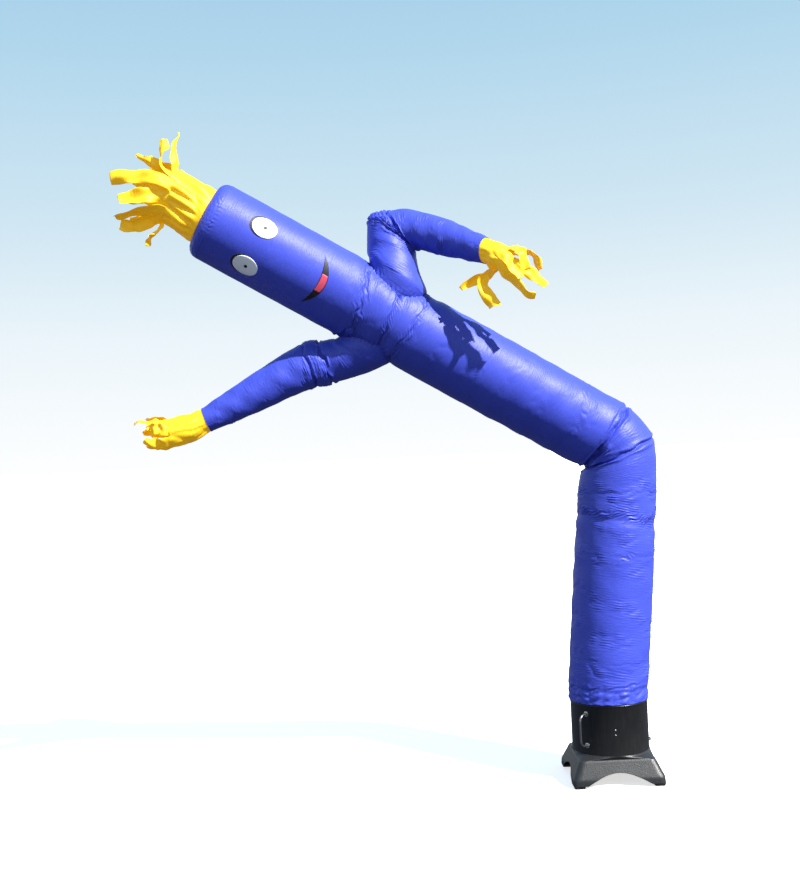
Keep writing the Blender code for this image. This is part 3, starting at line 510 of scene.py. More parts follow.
@lru_cache(maxsize=None)
def trunk_plain():
    """Hem, leg, knee and body without their folds."""
    leg = cylinder_rings(LEG_ROWS, LEG_FOOT, LEG_ALONG, LEG_OUT, LEG_RADIUS)
    body = cylinder_rings(BODY_ROWS, BODY_FOOT, BODY_ALONG, BODY_UP, BODY_RADIUS)
    return Tube(hem_rings() + leg + side_rings(KNEE_ROWS) + body)


@lru_cache(maxsize=None)
def trunk():
    """Hem, leg, knee and body as one finished tube."""
    return Tube(trunk_plain().rings, tube_shape)


def body_knot(distance):
    """The tube's own measure at a distance along the straight upper body."""
    places = [row[0] for row in BODY_ROWS[-3:]]
    return np.interp(distance, places, trunk_plain().knots[-3:])


@lru_cache(maxsize=None)
def arm_plain(side):
    """One arm without its folds."""
    return Tube(side_rings(RIGHT_ARM_ROWS if side == "right" else LEFT_ARM_ROWS))


@lru_cache(maxsize=None)
def arm_root(side):
    """Where an arm's cloth meets the body: the arm's measure and the point, for each turn."""
    arm = arm_plain(side)
    turns = np.linspace(0.0, 2 * np.pi, 240, endpoint=False)
    inside = np.full(turns.shape, arm.knots[0])
    outside = np.full(turns.shape, arm.knots[3])
    for _ in range(30):
        middle = (inside + outside) / 2
        under = body_depth(arm.plain(middle, turns)) < BODY_RADIUS
        inside = np.where(under, middle, inside)
        outside = np.where(under, outside, middle)
    return turns, outside, arm.plain(outside, turns)


def body_depth(points):
    """How far points are from the axis of the body."""
    away = points - BODY_FOOT
    return np.linalg.norm(away - (away @ BODY_ALONG)[:, None] * BODY_ALONG, axis=1)


def root_puckers_on_body(spot):
    """Short puckers that run away from each arm's seam over the body."""
    flat = spot.point.reshape(-1, 3)
    move = np.zeros(len(flat))
    for side, seed in (("right", 81), ("left", 84)):
        _, _, seam = arm_root(side)
        close = np.where(np.linalg.norm(flat - seam.mean(axis=0), axis=1) < 0.34)[0]
        if not len(close):
            continue
        apart = np.linalg.norm(flat[close][:, None] - seam[None, ::2], axis=2)
        distance = apart.min(axis=1)
        turn = 2 * np.pi * (apart.argmin(axis=1) * 2) / len(seam)
        uneven = patchy(np.cos(turn * 3 + seed) * np.sin(turn * 5 + 1), 0.6, 0.6, 0.1, 1.3)
        strand = np.cos(turn * ROOT_PUCKERS + 1.3 * np.sin(turn * 7 + seed))
        move[close] += (0.0040 * strand * uneven - 0.0036) * np.exp(-distance / 0.026)
    return move.reshape(spot.t.shape)


def arm_shape(side):
    """Folds and puckers of one arm. The left one hangs tighter than the right one."""
    arm = arm_plain(side)
    seam_turns, seam_places, _ = arm_root(side)
    seed, loose = (101, 1.0) if side == "right" else (121, 0.55)

    def shape(spot):
        knots = arm.knots
        q = wrapped(spot.turn, spot.t, ARM_RADIUS)
        wander = waves(q, seed, 0.09, 0.09, 12)
        uneven = patchy(waves(q, seed + 1, 0.12, 0.12, 10), 0.75, 0.45, 0.15, 1.4)
        seam = np.interp(spot.turn, seam_turns, seam_places, period=2 * np.pi)
        past = np.maximum(spot.t - seam, 0.0)
        strand = np.cos(spot.turn * ROOT_PUCKERS + 1.3 * wander)
        move = (0.0034 * strand * uneven - 0.0020) * np.exp(-past / 0.034)
        pucker = np.cos(spot.turn * 30 + 1.6 * wander)
        for knot, depth, width in ELBOW_CREASES[side]:
            away = (spot.t - knots[knot]) * spot.speed + 0.005 * wander
            move = move + uneven * crease(away, depth, width)
            move = move + 0.0016 * loose * uneven * pucker * np.exp(-np.abs(away) / 0.022)
        elbow = bell(spot.t - knots[ELBOW], 0.055)
        move = move + 0.0042 * loose**2 * elbow * slack(q, seed + 2, 0.050, 0.028, 16)
        # Short cross ripples on the upper half of the forearm, and a few on the upper arm
        patch = ease(-0.5, 1.3, waves(q, seed + 3, 0.16, 0.12, 12))
        before_cuff = ease(knots[-1] + 0.001, knots[-1] - 0.03, spot.t)
        move = move + 0.0030 * loose * patch * slack(q, seed + 4, 0.130, 0.024, 16) * before_cuff
        move = move + SWELL * waves(q, seed + 5, 0.20, 0.13, 12) * before_cuff
        cuff = np.exp(-np.maximum(knots[-1] - spot.t, 0.0) / 0.016)
        return move + 0.0010 * cuff * np.cos(spot.turn * 26 + wander)

    return shape


@lru_cache(maxsize=None)
def arm_tube(side):
    """One finished arm."""
    return Tube(arm_plain(side).rings, arm_shape(side))


def crown_shape(spot):
    """Puckers run in from the head seam and out from the rim of the hair."""
    knots = crown_plain().knots
    q = wrapped(spot.turn, spot.t, 0.2)
    wander = waves(q, 141, 0.08, 0.10, 12)
    uneven = patchy(waves(q, 142, 0.12, 0.2, 10), 0.7, 0.5, 0.1, 1.4)
    rim = np.exp(-(knots[-1] - spot.t) / 0.020)
    seam = np.exp(-(spot.t - knots[0]) / 0.014)
    pucker = np.cos(spot.turn * 46 + 1.2 * wander)
    gather = np.cos(2 * np.pi * BODY_RADIUS * spot.turn / SEAM_PUCKER + 0.9 * wander)
    hold = ease(knots[0], knots[0] + 0.010, spot.t) * ease(knots[-1], knots[-1] - 0.008, spot.t)
    loose = slack(q, 143, 0.050, 0.040, 14)
    return hold * (uneven * (0.0022 * rim * pucker + 0.0014 * seam * gather) + 0.0012 * loose)


@lru_cache(maxsize=None)
def crown_plain():
    """The domed end of the head without its puckers."""
    rings = []
    for past, radius in CROWN_ROWS:
        centre = BODY_FOOT + BODY_ALONG * (HEAD_SEAM + past)
        rings.append((centre, BODY_UP * radius, BODY_FRONT * radius))
    return Tube(rings)


@lru_cache(maxsize=None)
def crown_tube():
    """The finished end of the head."""
    return Tube(crown_plain().rings, crown_shape)


def show(name, data):
    """A new object of a mesh, light or camera, shown in the scene."""
    shown = bpy.data.objects.new(name, data)
    bpy.context.scene.collection.objects.link(shown)
    return shown


def quads(index):
    """Faces of a grid of point numbers, facing out where rows run along and columns round."""
    corners = [index[:-1, :-1], index[1:, :-1], index[1:, 1:], index[:-1, 1:]]
    return np.stack(corners, axis=-1).reshape(-1, 4)


def ring_index(rows, columns):
    """Point numbers of a closed tube, with its first column once more at the end."""
    index = np.arange(rows * columns).reshape(rows, columns)
    return np.concatenate([index, index[:, :1]], axis=1)


def capped_faces(rows, columns):
    """Faces of a closed tube and of its two flat ends."""
    total = rows * columns
    ends = [list(range(columns)), list(range(total - 1, total - columns - 1, -1))]
    return quads(ring_index(rows, columns)).tolist() + ends


def make_piece(name, points, faces, material, uv=None):
    """Make an object of points and faces in the blower's axes, with a UV map in metres."""
    mesh = bpy.data.meshes.new(name)
    faces = faces if isinstance(faces, list) else faces.tolist()
    mesh.from_pydata((np.asarray(points) + HUB).tolist(), [], faces)
    if uv is not None:
        mesh.uv_layers.new(name="cloth").data.foreach_set("uv", uv.ravel())
    mesh.shade_smooth()
    mesh.validate()
    mesh.materials.append(material)
    return show(name, mesh)


def smooth(piece, angle):
    """Shade a piece smooth, except over edges that are sharper than an angle in degrees."""
    piece.data.shade_smooth()
    piece.data.set_sharp_from_angle(angle=np.radians(angle))


def mend(piece, merge=0.0, outwards=True):
    """Merge points that lie closer than a distance, and turn the faces outwards."""
    bm = bmesh.new()
    bm.from_mesh(piece.data)
    if merge:
        bmesh.ops.remove_doubles(bm, verts=bm.verts, dist=merge)
    if outwards:
        bmesh.ops.recalc_face_normals(bm, faces=bm.faces)
    bm.to_mesh(piece.data)
    bm.free()


def grid_uv(u, v):
    """UV corners of the same faces: u for each column, one more if closed, and v for each row."""
    left, right = u[None, :-1], u[None, 1:]
    low, high = v[:-1, None], v[1:, None]
    pairs = []
    for corner in ((left, low), (left, high), (right, high), (right, low)):
        pairs.append(np.stack(np.broadcast_arrays(*corner), axis=-1))
    return np.stack(pairs, axis=2).reshape(-1, 2)


def tube_piece(name, tube, places, columns, radius, drop=None):
    """A finished tube of blue cloth as one surface. Drop tells which points belong to a hole."""
    turns = np.linspace(0.0, 2 * np.pi, columns, endpoint=False)
    points, _ = tube.at(places[:, None], turns[None, :])
    faces = quads(ring_index(len(places), columns))
    uv = grid_uv(np.linspace(0.0, 2 * np.pi * radius, columns + 1), places)
    points = points.reshape(-1, 3)
    if drop is not None:
        gone = drop(points)[faces].all(axis=1)
        faces = faces[~gone]
        uv = uv.reshape(-1, 4, 2)[~gone].reshape(-1, 2)
        used = np.unique(faces)
        number = np.full(len(points), -1)
        number[used] = np.arange(len(used))
        points, faces = points[used], number[faces]
    return make_piece(name, points, faces, shop("blue"), uv)


# How far round an arm's root its hole is looked for, and the share of its width that is open
ROOT_REACH, HOLE_SHARE = 0.30, 0.93


def inside_arms(points):
    """Which points of the body lie well inside an arm, where the body's cloth is open."""
    found = np.zeros(len(points), dtype=bool)
    for side in ("right", "left"):
        arm = arm_plain(side)
        _, _, seam = arm_root(side)
        close = np.where(np.linalg.norm(points - seam.mean(axis=0), axis=1) < ROOT_REACH)[0]
        if not len(close):
            continue
        places = np.linspace(arm.knots[0], arm.knots[3], 50)
        top, bottom = arm.plain(places, 0.0 * places), arm.plain(places, 0.0 * places + np.pi)
        origin = (top + bottom) / 2
        up = top - origin
        front = arm.plain(places, 0.0 * places + np.pi / 2) - origin
        away = points[close][:, None] - origin[None]
        normal = unit(np.cross(up, front))
        a = (away * up).sum(axis=2) / (up**2).sum(axis=1)
        b = (away * front).sum(axis=2) / (front**2).sum(axis=1)
        off = np.abs((away * normal).sum(axis=2))
        best = off.argmin(axis=1)
        pick = np.arange(len(close))
        within = a[pick, best] ** 2 + b[pick, best] ** 2 < HOLE_SHARE**2
        found[close] |= within & (off[pick, best] < 0.01)
    return found


def inside_body(points):
    """Which points of an arm lie well inside the body."""
    return body_depth(points) < BODY_RADIUS - 0.014


def thicken(piece, thickness, offset=-1.0):
    """Give a cloth surface its real thickness."""
    wall = piece.modifiers.new("cloth", "SOLIDIFY")
    wall.thickness = thickness
    wall.offset = offset
    wall.use_even_offset = False


def settle(piece, slot, *nodes):
    """Fix a finished piece to the part's one body, and hide the CAD nodes that it stands in for."""
    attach(piece, "root")
    if nodes:
        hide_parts(*nodes)


class Value:
    """An output of a node, with which sums are written as Python expressions."""

    def __init__(self, nodes, socket):
        self.nodes = nodes
        self.socket = socket

    def part(self, key):
        """Another output of the same node."""
        return Value(self.nodes, self.socket.node.outputs[key])

    def _sum(self, operation, *values):
        return self.nodes.node("ShaderNodeMath", {"operation": operation}, enumerate(values))

    def __add__(self, other):
        return self._sum("ADD", self, other)

    __radd__ = __add__

    def __mul__(self, other):
        return self._sum("MULTIPLY", self, other)

    __rmul__ = __mul__

    def __sub__(self, other):
        return self._sum("SUBTRACT", self, other)

    def __rsub__(self, other):
        return self._sum("SUBTRACT", other, self)

    def __pow__(self, other):
        return self._sum("POWER", self, other)

    def __abs__(self):
        return self._sum("ABSOLUTE", self)


class Nodes:
    """The nodes of a material, of the sky or of a Geometry Nodes group."""

    def __init__(self, tree):
        self.tree = tree

    def node(self, kind, settings=(), inputs=(), output=0):
        """Add a node: its settings first, then the values or links of its sockets."""
        made = self.tree.nodes.new(kind)
        for key, value in dict(settings).items():
            if key == "stops":
                stops = made.color_ramp.elements
                while len(stops) < len(value):
                    stops.new(1.0)
                for stop, (place, colour) in zip(stops, value):
                    stop.position = place
                    stop.color = (*colour, 1.0)
            else:
                setattr(made, key, value)
        for key, value in dict(inputs).items():
            self.fill(made.inputs[key], value)
        return Value(self, made.outputs[output]) if made.outputs else None

    def fill(self, socket, value):
        """Link a value to a socket, or set it."""
        if isinstance(value, Value):
            self.tree.links.new(value.socket, socket)
        elif socket.type == "RGBA" and len(value) == 3:
            socket.default_value = (*value, 1.0)
        else:
            socket.default_value = value


class Look(Nodes):
    """One procedural material and the nodes that it is built of."""

    def __init__(self, name, constants=()):
        self.material = bpy.data.materials.new(name)
        self.material.use_nodes = True
        super().__init__(self.material.node_tree)
        self.shader = self.tree.nodes["Principled BSDF"]
        for key, value in dict(constants).items():
            self.fill(self.shader.inputs[key], value)

    def place(self, scale=(1.0, 1.0, 1.0), own_map=False):
        """A position on the piece: its own UV map in metres, or its Object coordinates."""
        if own_map:
            start = self.node("ShaderNodeUVMap", {"uv_map": "cloth"})
        else:
            start = self.node("ShaderNodeTexCoord", output="Object")
        return self.node("ShaderNodeMapping", {}, {"Vector": start, "Scale": scale})

    def noise(self, place, scale, detail=2.0, roughness=0.5, distortion=0.0):
        """Noise from 0 to 1, with a scale in cycles for each metre."""
        inputs = {"Vector": place, "Scale": scale, "Detail": detail, "Roughness": roughness}
        return self.node("ShaderNodeTexNoise", {}, {**inputs, "Distortion": distortion})

    def blend(self, amount, first, second):
        """Mix two colours."""
        settings = {"data_type": "RGBA", "blend_type": "MIX"}
        return self.node("ShaderNodeMix", settings, {0: amount, 6: first, 7: second}, output=2)

    def bump(self, height, distance, strength=1.0, below=None):
        """A bump in metres, on top of another one if given."""
        inputs = {"Height": height, "Distance": distance, "Strength": strength}
        if below is not None:
            inputs["Normal"] = below
        return self.node("ShaderNodeBump", {}, inputs)

    def wear(self, **sockets):
        """Feed the shader's varying sockets."""
        for key, value in sockets.items():
            self.fill(self.shader.inputs[key.replace("_", " ").title()], value)
        return self.material


def tone(colour, factor):
    """A colour made lighter or darker."""
    return tuple(min(1.0, channel * factor) for channel in colour)


THREADS = 260.0


def cloth_look(name, colour, pale, deep, roughness, ripple, sheen, painted_glow=0.0):
    """Light coated nylon: a fine weave, faint ripples, slight fading and thread-fine streaks, and where asked
    a painted glow.
    """
    constants = {"Sheen Weight": sheen, "Sheen Roughness": 0.4, "Specular IOR Level": 0.34}
    constants["Sheen Tint"] = pale
    if painted_glow:
        # Painted glow: an orange emission that brightens the shaded folds of the thin strips, in place of
        # daylight coming through them
        constants["Emission Color"] = (colour[0], colour[1] * 0.62, 0.0)
        constants["Emission Strength"] = painted_glow
    look = Look(name, constants)
    flat = look.place(own_map=True)
    fading = look.noise(flat, 2.3, 3.0, 0.55)
    streaks = look.noise(look.place((6.0, 60.0, 1.0), True), 1.0, 2.0, 0.6)
    mottling = look.noise(flat, 38.0, 3.0, 0.6)
    shade = look.blend(fading, deep, pale)
    base = look.blend(0.62, shade, colour)
    base = look.blend(streaks * 0.16, base, tone(deep, 0.75))
    base = look.blend(mottling * 0.10, base, pale)
    threads = {"Vector": flat, "Scale": THREADS}
    warp = look.node("ShaderNodeTexWave", {"bands_direction": "X"}, threads)
    weft = look.node("ShaderNodeTexWave", {"bands_direction": "Y"}, threads)
    weave = look.bump(warp * weft, 0.00012, 0.55)
    fine = look.noise(look.place((9.0, 70.0, 1.0), True), 1.0, 3.0, 0.55, 0.3)
    puckers = look.noise(look.place((22.0, 34.0, 1.0), True), 1.0, 2.0, 0.5)
    return look.wear(
        base_color=base,
        roughness=roughness + 0.10 * (mottling - 0.5) + 0.08 * (fading - 0.5),
        normal=look.bump(abs(fine - 0.5) + puckers * 0.35, ripple * 3.0, 0.8, weave),
    )


def thread_look(name, colour):
    """Twisted sewing thread."""
    look = Look(name, {"Sheen Weight": 0.3})
    strands = look.noise(look.place(), 900.0, 2.0, 0.6)
    return look.wear(
        base_color=look.blend(strands, tone(colour, 0.6), colour),
        roughness=0.55 + strands * 0.2,
        normal=look.bump(strands, 0.0003, 0.5),
    )


def plastic_look(name, colour, roughness, grain, grain_depth, dust):
    """Moulded plastic: a stippled grain, faint scuffs and specks of dust."""
    look = Look(name, {"Specular IOR Level": 0.5})
    here = look.place()
    cells = look.node("ShaderNodeTexVoronoi", {"feature": "F1"}, {"Vector": here, "Scale": grain})
    patches = look.noise(here, 5.0, 4.0, 0.6)
    scuffs = look.noise(look.place((60.0, 60.0, 9.0)), 1.0, 4.0, 0.65)
    speck = look.noise(here, 320.0, 2.0, 0.6)
    base = look.blend(patches, tone(colour, 0.7), tone(colour, 1.35))
    base = look.blend(scuffs**4.0 * 0.5, base, dust)
    base = look.blend(speck**3.0 * 0.35, base, dust)
    relief = look.bump(cells, grain_depth, 0.6)
    return look.wear(
        base_color=base,
        roughness=roughness + 0.18 * (patches - 0.5) + 0.14 * (scuffs - 0.5),
        normal=look.bump(patches, 0.0015, 0.25, relief),
    )


def rubber_look(name, colour):
    """Matte rubber with a little grime."""
    look = Look(name, {"Specular IOR Level": 0.3})
    here = look.place()
    grime = look.noise(here, 40.0, 4.0, 0.65)
    fine = look.noise(here, 700.0, 2.0, 0.5)
    return look.wear(
        base_color=look.blend(grime * 0.6, colour, (0.05, 0.045, 0.04)),
        roughness=0.72 + 0.2 * grime,
        normal=look.bump(fine, 0.0003, 0.5),
    )


def steel_look(name, colour, roughness):
    """Bright steel with fine drawn lines and a few darker handling marks."""
    look = Look(name)
    lines = look.noise(look.place((700.0, 700.0, 30.0)), 1.0, 3.0, 0.6)
    marks = look.noise(look.place(), 55.0, 4.0, 0.65)
    return look.wear(
        base_color=look.blend(marks, tone(colour, 0.55), tone(colour, 1.15)),
        metallic=0.92 + 0.06 * marks,
        roughness=roughness + 0.25 * marks**2.0 + 0.10 * (lines - 0.5),
        normal=look.bump(lines, 0.0001, 0.4),
    )


def floor_look(name, colour):
    """A pale matt floor."""
    look = Look(name, {"Emission Color": (1.0, 0.98, 0.96), "Emission Strength": 0.66})
    cloudy = look.noise(look.place(), 0.6, 3.0, 0.5)
    fine = look.noise(look.place(), 60.0, 3.0, 0.5)
    return look.wear(
        base_color=look.blend(cloudy, tone(colour, 0.97), tone(colour, 1.02)),
        roughness=0.85 + 0.1 * fine,
        normal=look.bump(fine, 0.0005, 0.2),
    )


BLUE_SHADES = ((0.062, 0.090, 0.56), (0.026, 0.040, 0.40))
# Of each other cloth after its colour: paler, deeper, roughness, ripple, sheen and painted glow (an emission
# that lifts the shade)
CLOTHS = {
    "yellow": ((0.76, 0.60, 0.04), (0.62, 0.30, 0.003), 0.48, 0.0014, 0.05, 0.42),
    "white": ((0.86, 0.86, 0.88), (0.70, 0.72, 0.78), 0.42, 0.0004, 0.05),
    "black": ((0.018, 0.017, 0.020), (0.004, 0.004, 0.005), 0.50, 0.0004, 0.05),
    "coral": ((0.60, 0.12, 0.17), (0.40, 0.02, 0.06), 0.46, 0.0004, 0.05),
}
DUCT_DUST, BASE_DUST = (0.05, 0.05, 0.05), (0.06, 0.063, 0.066)
DUCT_GRAIN, BASE_GRAIN = (420.0, 0.00012), (200.0, 0.00110)


@lru_cache(maxsize=None)
def shop(kind):
    """Each material, made once, with the colours that the settings give."""
    cloth = bpy.context.scene.dancer_cloth
    blower = bpy.context.scene.dancer_blower
    stage = bpy.context.scene.dancer_stage
    blue, duct = tuple(cloth.body_colour), tuple(blower.duct_colour)
    make, *values = {
        "blue": (cloth_look, "blue_nylon", blue, *BLUE_SHADES, cloth.roughness, 0.0011, 0.03),
        "yellow": (cloth_look, "yellow_nylon", tuple(cloth.hair_colour), *CLOTHS["yellow"]),
        "white": (cloth_look, "white_nylon", (0.80, 0.81, 0.84), *CLOTHS["white"]),
        "black": (cloth_look, "black_nylon", (0.008, 0.007, 0.009), *CLOTHS["black"]),
        "coral": (cloth_look, "coral_nylon", (0.52, 0.045, 0.10), *CLOTHS["coral"]),
        "collar": (plastic_look, "duct_plastic", duct, blower.duct_roughness, *DUCT_GRAIN, DUCT_DUST),
        "base": (
            plastic_look, "grained_plastic", tuple(blower.base_colour), 0.42, *BASE_GRAIN, BASE_DUST,
        ),
        "rubber": (rubber_look, "foot_rubber", (0.010, 0.010, 0.011)),
        "steel": (steel_look, "bright_steel", (0.60, 0.61, 0.63), 0.22),
        "dark_steel": (steel_look, "dark_steel", (0.20, 0.20, 0.21), 0.30),
        "motor": (steel_look, "motor_paint", (0.06, 0.06, 0.065), 0.42),
        "blue_thread": (thread_look, "blue_thread", (0.05, 0.06, 0.55)),
        "black_thread": (thread_look, "black_thread", (0.02, 0.02, 0.025)),
        "floor": (floor_look, "pale_floor", tuple(stage.floor_colour)),
    }[kind]
    return make(*values)


LEG_PITCHES = (0.01, 0.01, 0.01, 0.004, 0.0045, 0.005, 0.0048, 0.0048, 0.0048, 0.0048, 0.0035, 0.0035, 0.005)
KNEE_PITCHES = (0.005, 0.0045, 0.0045, 0.0045)
BODY_PITCHES = (
    0.005, 0.006, 0.0072, 0.0072, 0.0068, 0.0045, 0.0038, 0.0038, 0.0038, 0.0036, 0.004, 0.007, 0.012, 0.005,
)
ARM_PITCHES = (0.008, 0.006, 0.0055, 0.0045, 0.0035, 0.0035, 0.004) + (0.0055,) * 5
TRUNK_COLUMNS, ARM_COLUMNS, CROWN_COLUMNS = 240, 132, 216
ARM_MAP_RADIUS = 0.15
ARM_FLATS = (("right", (0.92, 0.84)), ("left", (0.86, 0.98)))


def make_trunk():
    """Leg and body are one tube, made as two pieces that meet in the knee's upper crease."""
    whole = trunk()
    meet = len(LEG_PITCHES + KNEE_PITCHES)
    leg_rows = whole.rows(LEG_PITCHES + KNEE_PITCHES, 0, meet)
    leg = tube_piece("leg_cloth", whole, leg_rows, TRUNK_COLUMNS, LEG_RADIUS)
    settle(leg, "blue_cloth", "body_tube")
    body_rows = whole.rows(BODY_PITCHES, meet, meet + len(BODY_PITCHES))
    body = tube_piece("body_cloth", whole, body_rows, TRUNK_COLUMNS, BODY_RADIUS, inside_arms)
    settle(body, "blue_cloth", "body_tube")


def make_arms():
    """Each arm is one tube, open to the body at its root."""
    for side, flat in ARM_FLATS:
        arm = arm_tube(side)
        places = arm.rows(ARM_PITCHES, 0, len(arm.knots) - 1)
        name = side + "_arm_cloth"
        piece = tube_piece(name, arm, places, ARM_COLUMNS, ARM_MAP_RADIUS, inside_body)
        settle(piece, "blue_cloth", side + "_arm")


def make_crown():
    """The domed end of the head, up to the rim that the hair is sewn in."""
    crown = crown_tube()
    places = crown.rows((0.003,) * 5)
    piece = tube_piece("crown_cloth", crown, places, CROWN_COLUMNS, BODY_RADIUS)
    thicken(piece, CROWN_WALL)
    settle(piece, "blue_cloth", "crown")


def strip_grid(strip, root, ahead, outward, bend, rows, seed):
    """Points of one strip, which leaves the slit edge and turns over on its way to its end."""
    columns = len(root)
    middle = root[columns // 2]
    end = np.array([strip.x, strip.y, strip.z])
    reach = np.linalg.norm(end - middle)
    first = middle + ahead * (reach * strip.lead) + outward * (reach * max(0.0, 0.15 - strip.lead))
    second = middle * 0.3 + end * 0.7 - np.array([0.0, 0.0, strip.sag])
    t = np.linspace(0.0, 1.0, rows + 1)[:, None]
    path = middle * (1 - t) ** 3 + first * (3 * t * (1 - t) ** 2)
    path = path + second * (3 * t * t * (1 - t)) + end * t**3
    rng = np.random.default_rng(seed)
    curl = rng.uniform(0.35, 0.95) * rng.choice((-1.0, 1.0))
    beat, skew = rng.uniform(1.2, 2.4), rng.uniform(0.0, 2 * np.pi, 4)
    across = unit(root[-1] - root[0])
    half = np.linalg.norm(root[-1] - root[0]) / 2
    side = np.linspace(-1.0, 1.0, columns)
    grid = [root]
    for k in range(1, rows + 1):
        share = k / rows
        tangent = unit(path[min(k + 1, rows)] - path[k - 1])
        across = unit(across - tangent * (across @ tangent))
        turn = Matrix.Rotation(np.radians(strip.twist) / rows, 3, Vector(tangent))
        across = np.array(turn @ Vector(across))
        normal = np.cross(tangent, across)
        width = half * (1 + (strip.tip - 1) * share * share) * (1 + 0.20 * np.sin(np.pi * share))
        arch = bend + (curl - bend) * ease(0.1, 0.7, share)
        arch = arch if abs(arch) > 0.03 else 0.03
        sideways = width * np.sin(arch * side) / np.sin(arch)
        hollow = width * (np.cos(arch * side) - 1) / np.sin(arch)
        grow = ease(0.0, 0.35, share)
        flutter = 0.20 * half * np.sin(2 * np.pi * beat * share + skew[0] + 0.9 * side)
        shift = side * 0.5 + 0.35 * np.sin(3 * share + skew[1])
        ruck = 0.10 * half * np.cos(2.6 * np.pi * shift + skew[2])
        edge = 0.16 * half * side**2 * np.sin(2 * np.pi * (beat * 1.7) * share + skew[3] + 1.5 * side)
        height = hollow + grow * (flutter + ruck + edge)
        grid.append(path[k] + across * sideways[:, None] + normal * height[:, None])
    return np.array(grid)


def sleeve_shape(tube, size, depth, seed):
    """Long soft folds that start at the sewn rim and deepen towards the slits."""

    def shape(spot):
        q = np.stack([size * np.cos(spot.turn), size * np.sin(spot.turn), spot.t], axis=-1)
        grow = ease(tube.knots[0], tube.knots[0] + 0.45 * size, spot.t)
        rim = np.exp(-(spot.t - tube.knots[0]) / (0.12 * size))
        folds = np.abs(waves(q, seed, 0.60 * size, 3.0 * size, 14)) - 0.8
        small = np.abs(waves(q, seed + 1, 0.30 * size, 0.9 * size, 14)) - 0.8
        pucker = np.cos(spot.turn * 40 + 1.2 * waves(q, seed + 2, 0.5 * size, 0.5 * size, 8))
        return depth * grow * (folds + 0.14 * small) + 0.0012 * pucker * rim * (1 - rim)

    return shape


STRIP_COLUMNS = 11


def make_fringed_sleeve(name, rings, strips, band, rows, depth, seed, nodes):
    """A yellow sleeve that is slit into strips, as one piece of cloth."""
    columns = STRIP_COLUMNS
    ahead = unit(rings[-1][0] - rings[-2][0])
    last = (rings[-1][0] + ahead * (SEAM + band), rings[-1][1], rings[-1][2])
    plain = Tube(list(rings) + [last])
    size = float(np.linalg.norm(rings[-1][1]))
    tube = Tube(plain.rings, sleeve_shape(plain, size, depth, seed))
    share = 2 * np.pi / len(strips)
    slit = 0.004 / size
    turns = []
    for strip in strips:
        middle = np.radians(strip.angle)
        turns += list(np.linspace(middle - share / 2 + slit / 2, middle + share / 2 - slit / 2, columns))
    turns = np.array(turns)
    places = tube.rows((0.007,) * len(rings))
    sleeve, _ = tube.at(places[:, None], turns[None, :])
    count = len(turns)
    index = ring_index(len(places), count)
    points, faces = [sleeve.reshape(-1, 3)], [quads(index)]
    round_way = np.concatenate([turns, [turns[0] + 2 * np.pi]]) * size
    uv = [grid_uv(round_way, places)]
    total = len(places) * count
    for number, strip in enumerate(strips):
        mine = slice(number * columns, (number + 1) * columns)
        root = sleeve[-1, mine]
        outward = unit(root[columns // 2] - last[0])
        grid = strip_grid(strip, root, ahead, outward, share / 2, rows, seed + 10 + number)
        new = np.arange(rows * columns).reshape(rows, columns) + total
        faces.append(quads(np.concatenate([index[-1:, mine], new])))
        points.append(grid[1:].reshape(-1, 3))
        steps = np.linalg.norm(np.diff(grid[:, columns // 2], axis=0), axis=1)
        down = places[-1] + np.concatenate([[0.0], np.cumsum(steps)])
        uv.append(grid_uv(turns[mine] * size, down))
        total += rows * columns
    points, faces, uv = (np.concatenate(parts) for parts in (points, faces, uv))
    piece = make_piece(name, points, faces, shop("yellow"), uv)
    thicken(piece, STRIP_WALL)
    settle(piece, "yellow_cloth", *nodes)


def hair_rings():
    """From the rim of the crown's hole to the slits."""
    radius = CROWN_ROWS[-1][1]
    centre = BODY_FOOT + BODY_ALONG * (HEAD_SEAM + CROWN_ROWS[-1][0] + SEAM)
    return [(centre, BODY_UP * radius, BODY_FRONT * radius)] + side_rings(HAIR_ROWS)


def cuff_rings(rows):
    """A hand's sleeve starts just inside the end of its arm."""
    before, end = side_rings(rows)[-2:]
    ahead = unit(end[0] - before[0])
    up = unit(end[1]) * (np.linalg.norm(end[1]) - 2 * CLOTH)
    front = unit(end[2]) * (np.linalg.norm(end[2]) - 2 * CLOTH)
    return [(end[0] - ahead * back, up, front) for back in (0.008, 0.0)]


def make_hair():
    """The streamer hair."""
    make_fringed_sleeve(
        "hair_cloth", hair_rings(), HAIR_STRIPS, 0.020, 44, 0.0105, 200,
        ("hair_sleeve", "hair_strips"),
    )


def make_hands():
    """The streamer hands."""
    for side, rows, palm, strips, seed, area in (
        ("right", RIGHT_ARM_ROWS, RIGHT_HAND_ROWS, RIGHT_HAND_STRIPS, 300, 0.16),
        ("left", LEFT_ARM_ROWS, LEFT_HAND_ROWS, LEFT_HAND_STRIPS, 400, 0.195),
    ):
        make_fringed_sleeve(
            side + "_hand_cloth", cuff_rings(rows) + side_rings(palm), strips, 0.012, 36, 0.0042, seed,
            (side + "_hand_sleeve", side + "_hand_strips"),
        )


def oval(distance, angle, half_length, half_width, rows=26, across=18):
    """Rows of distance and angle that fill an oval on the body."""
    place = -np.cos(np.pi * np.arange(rows + 1) / rows)[:, None]
    reach = np.sqrt(np.maximum(0.0, 1 - place**2)) * half_width / BODY_RADIUS
    side = np.linspace(-1.0, 1.0, across + 1)[None, :]
    s = distance + half_length * place + 0.0 * side
    return np.stack([s, np.radians(angle) + reach * side], axis=-1)


# Half the angle that the mouth spans, and where its corners lie along the body
MOUTH_SPREAD, MOUTH_PLACE = 39.5, 1.840


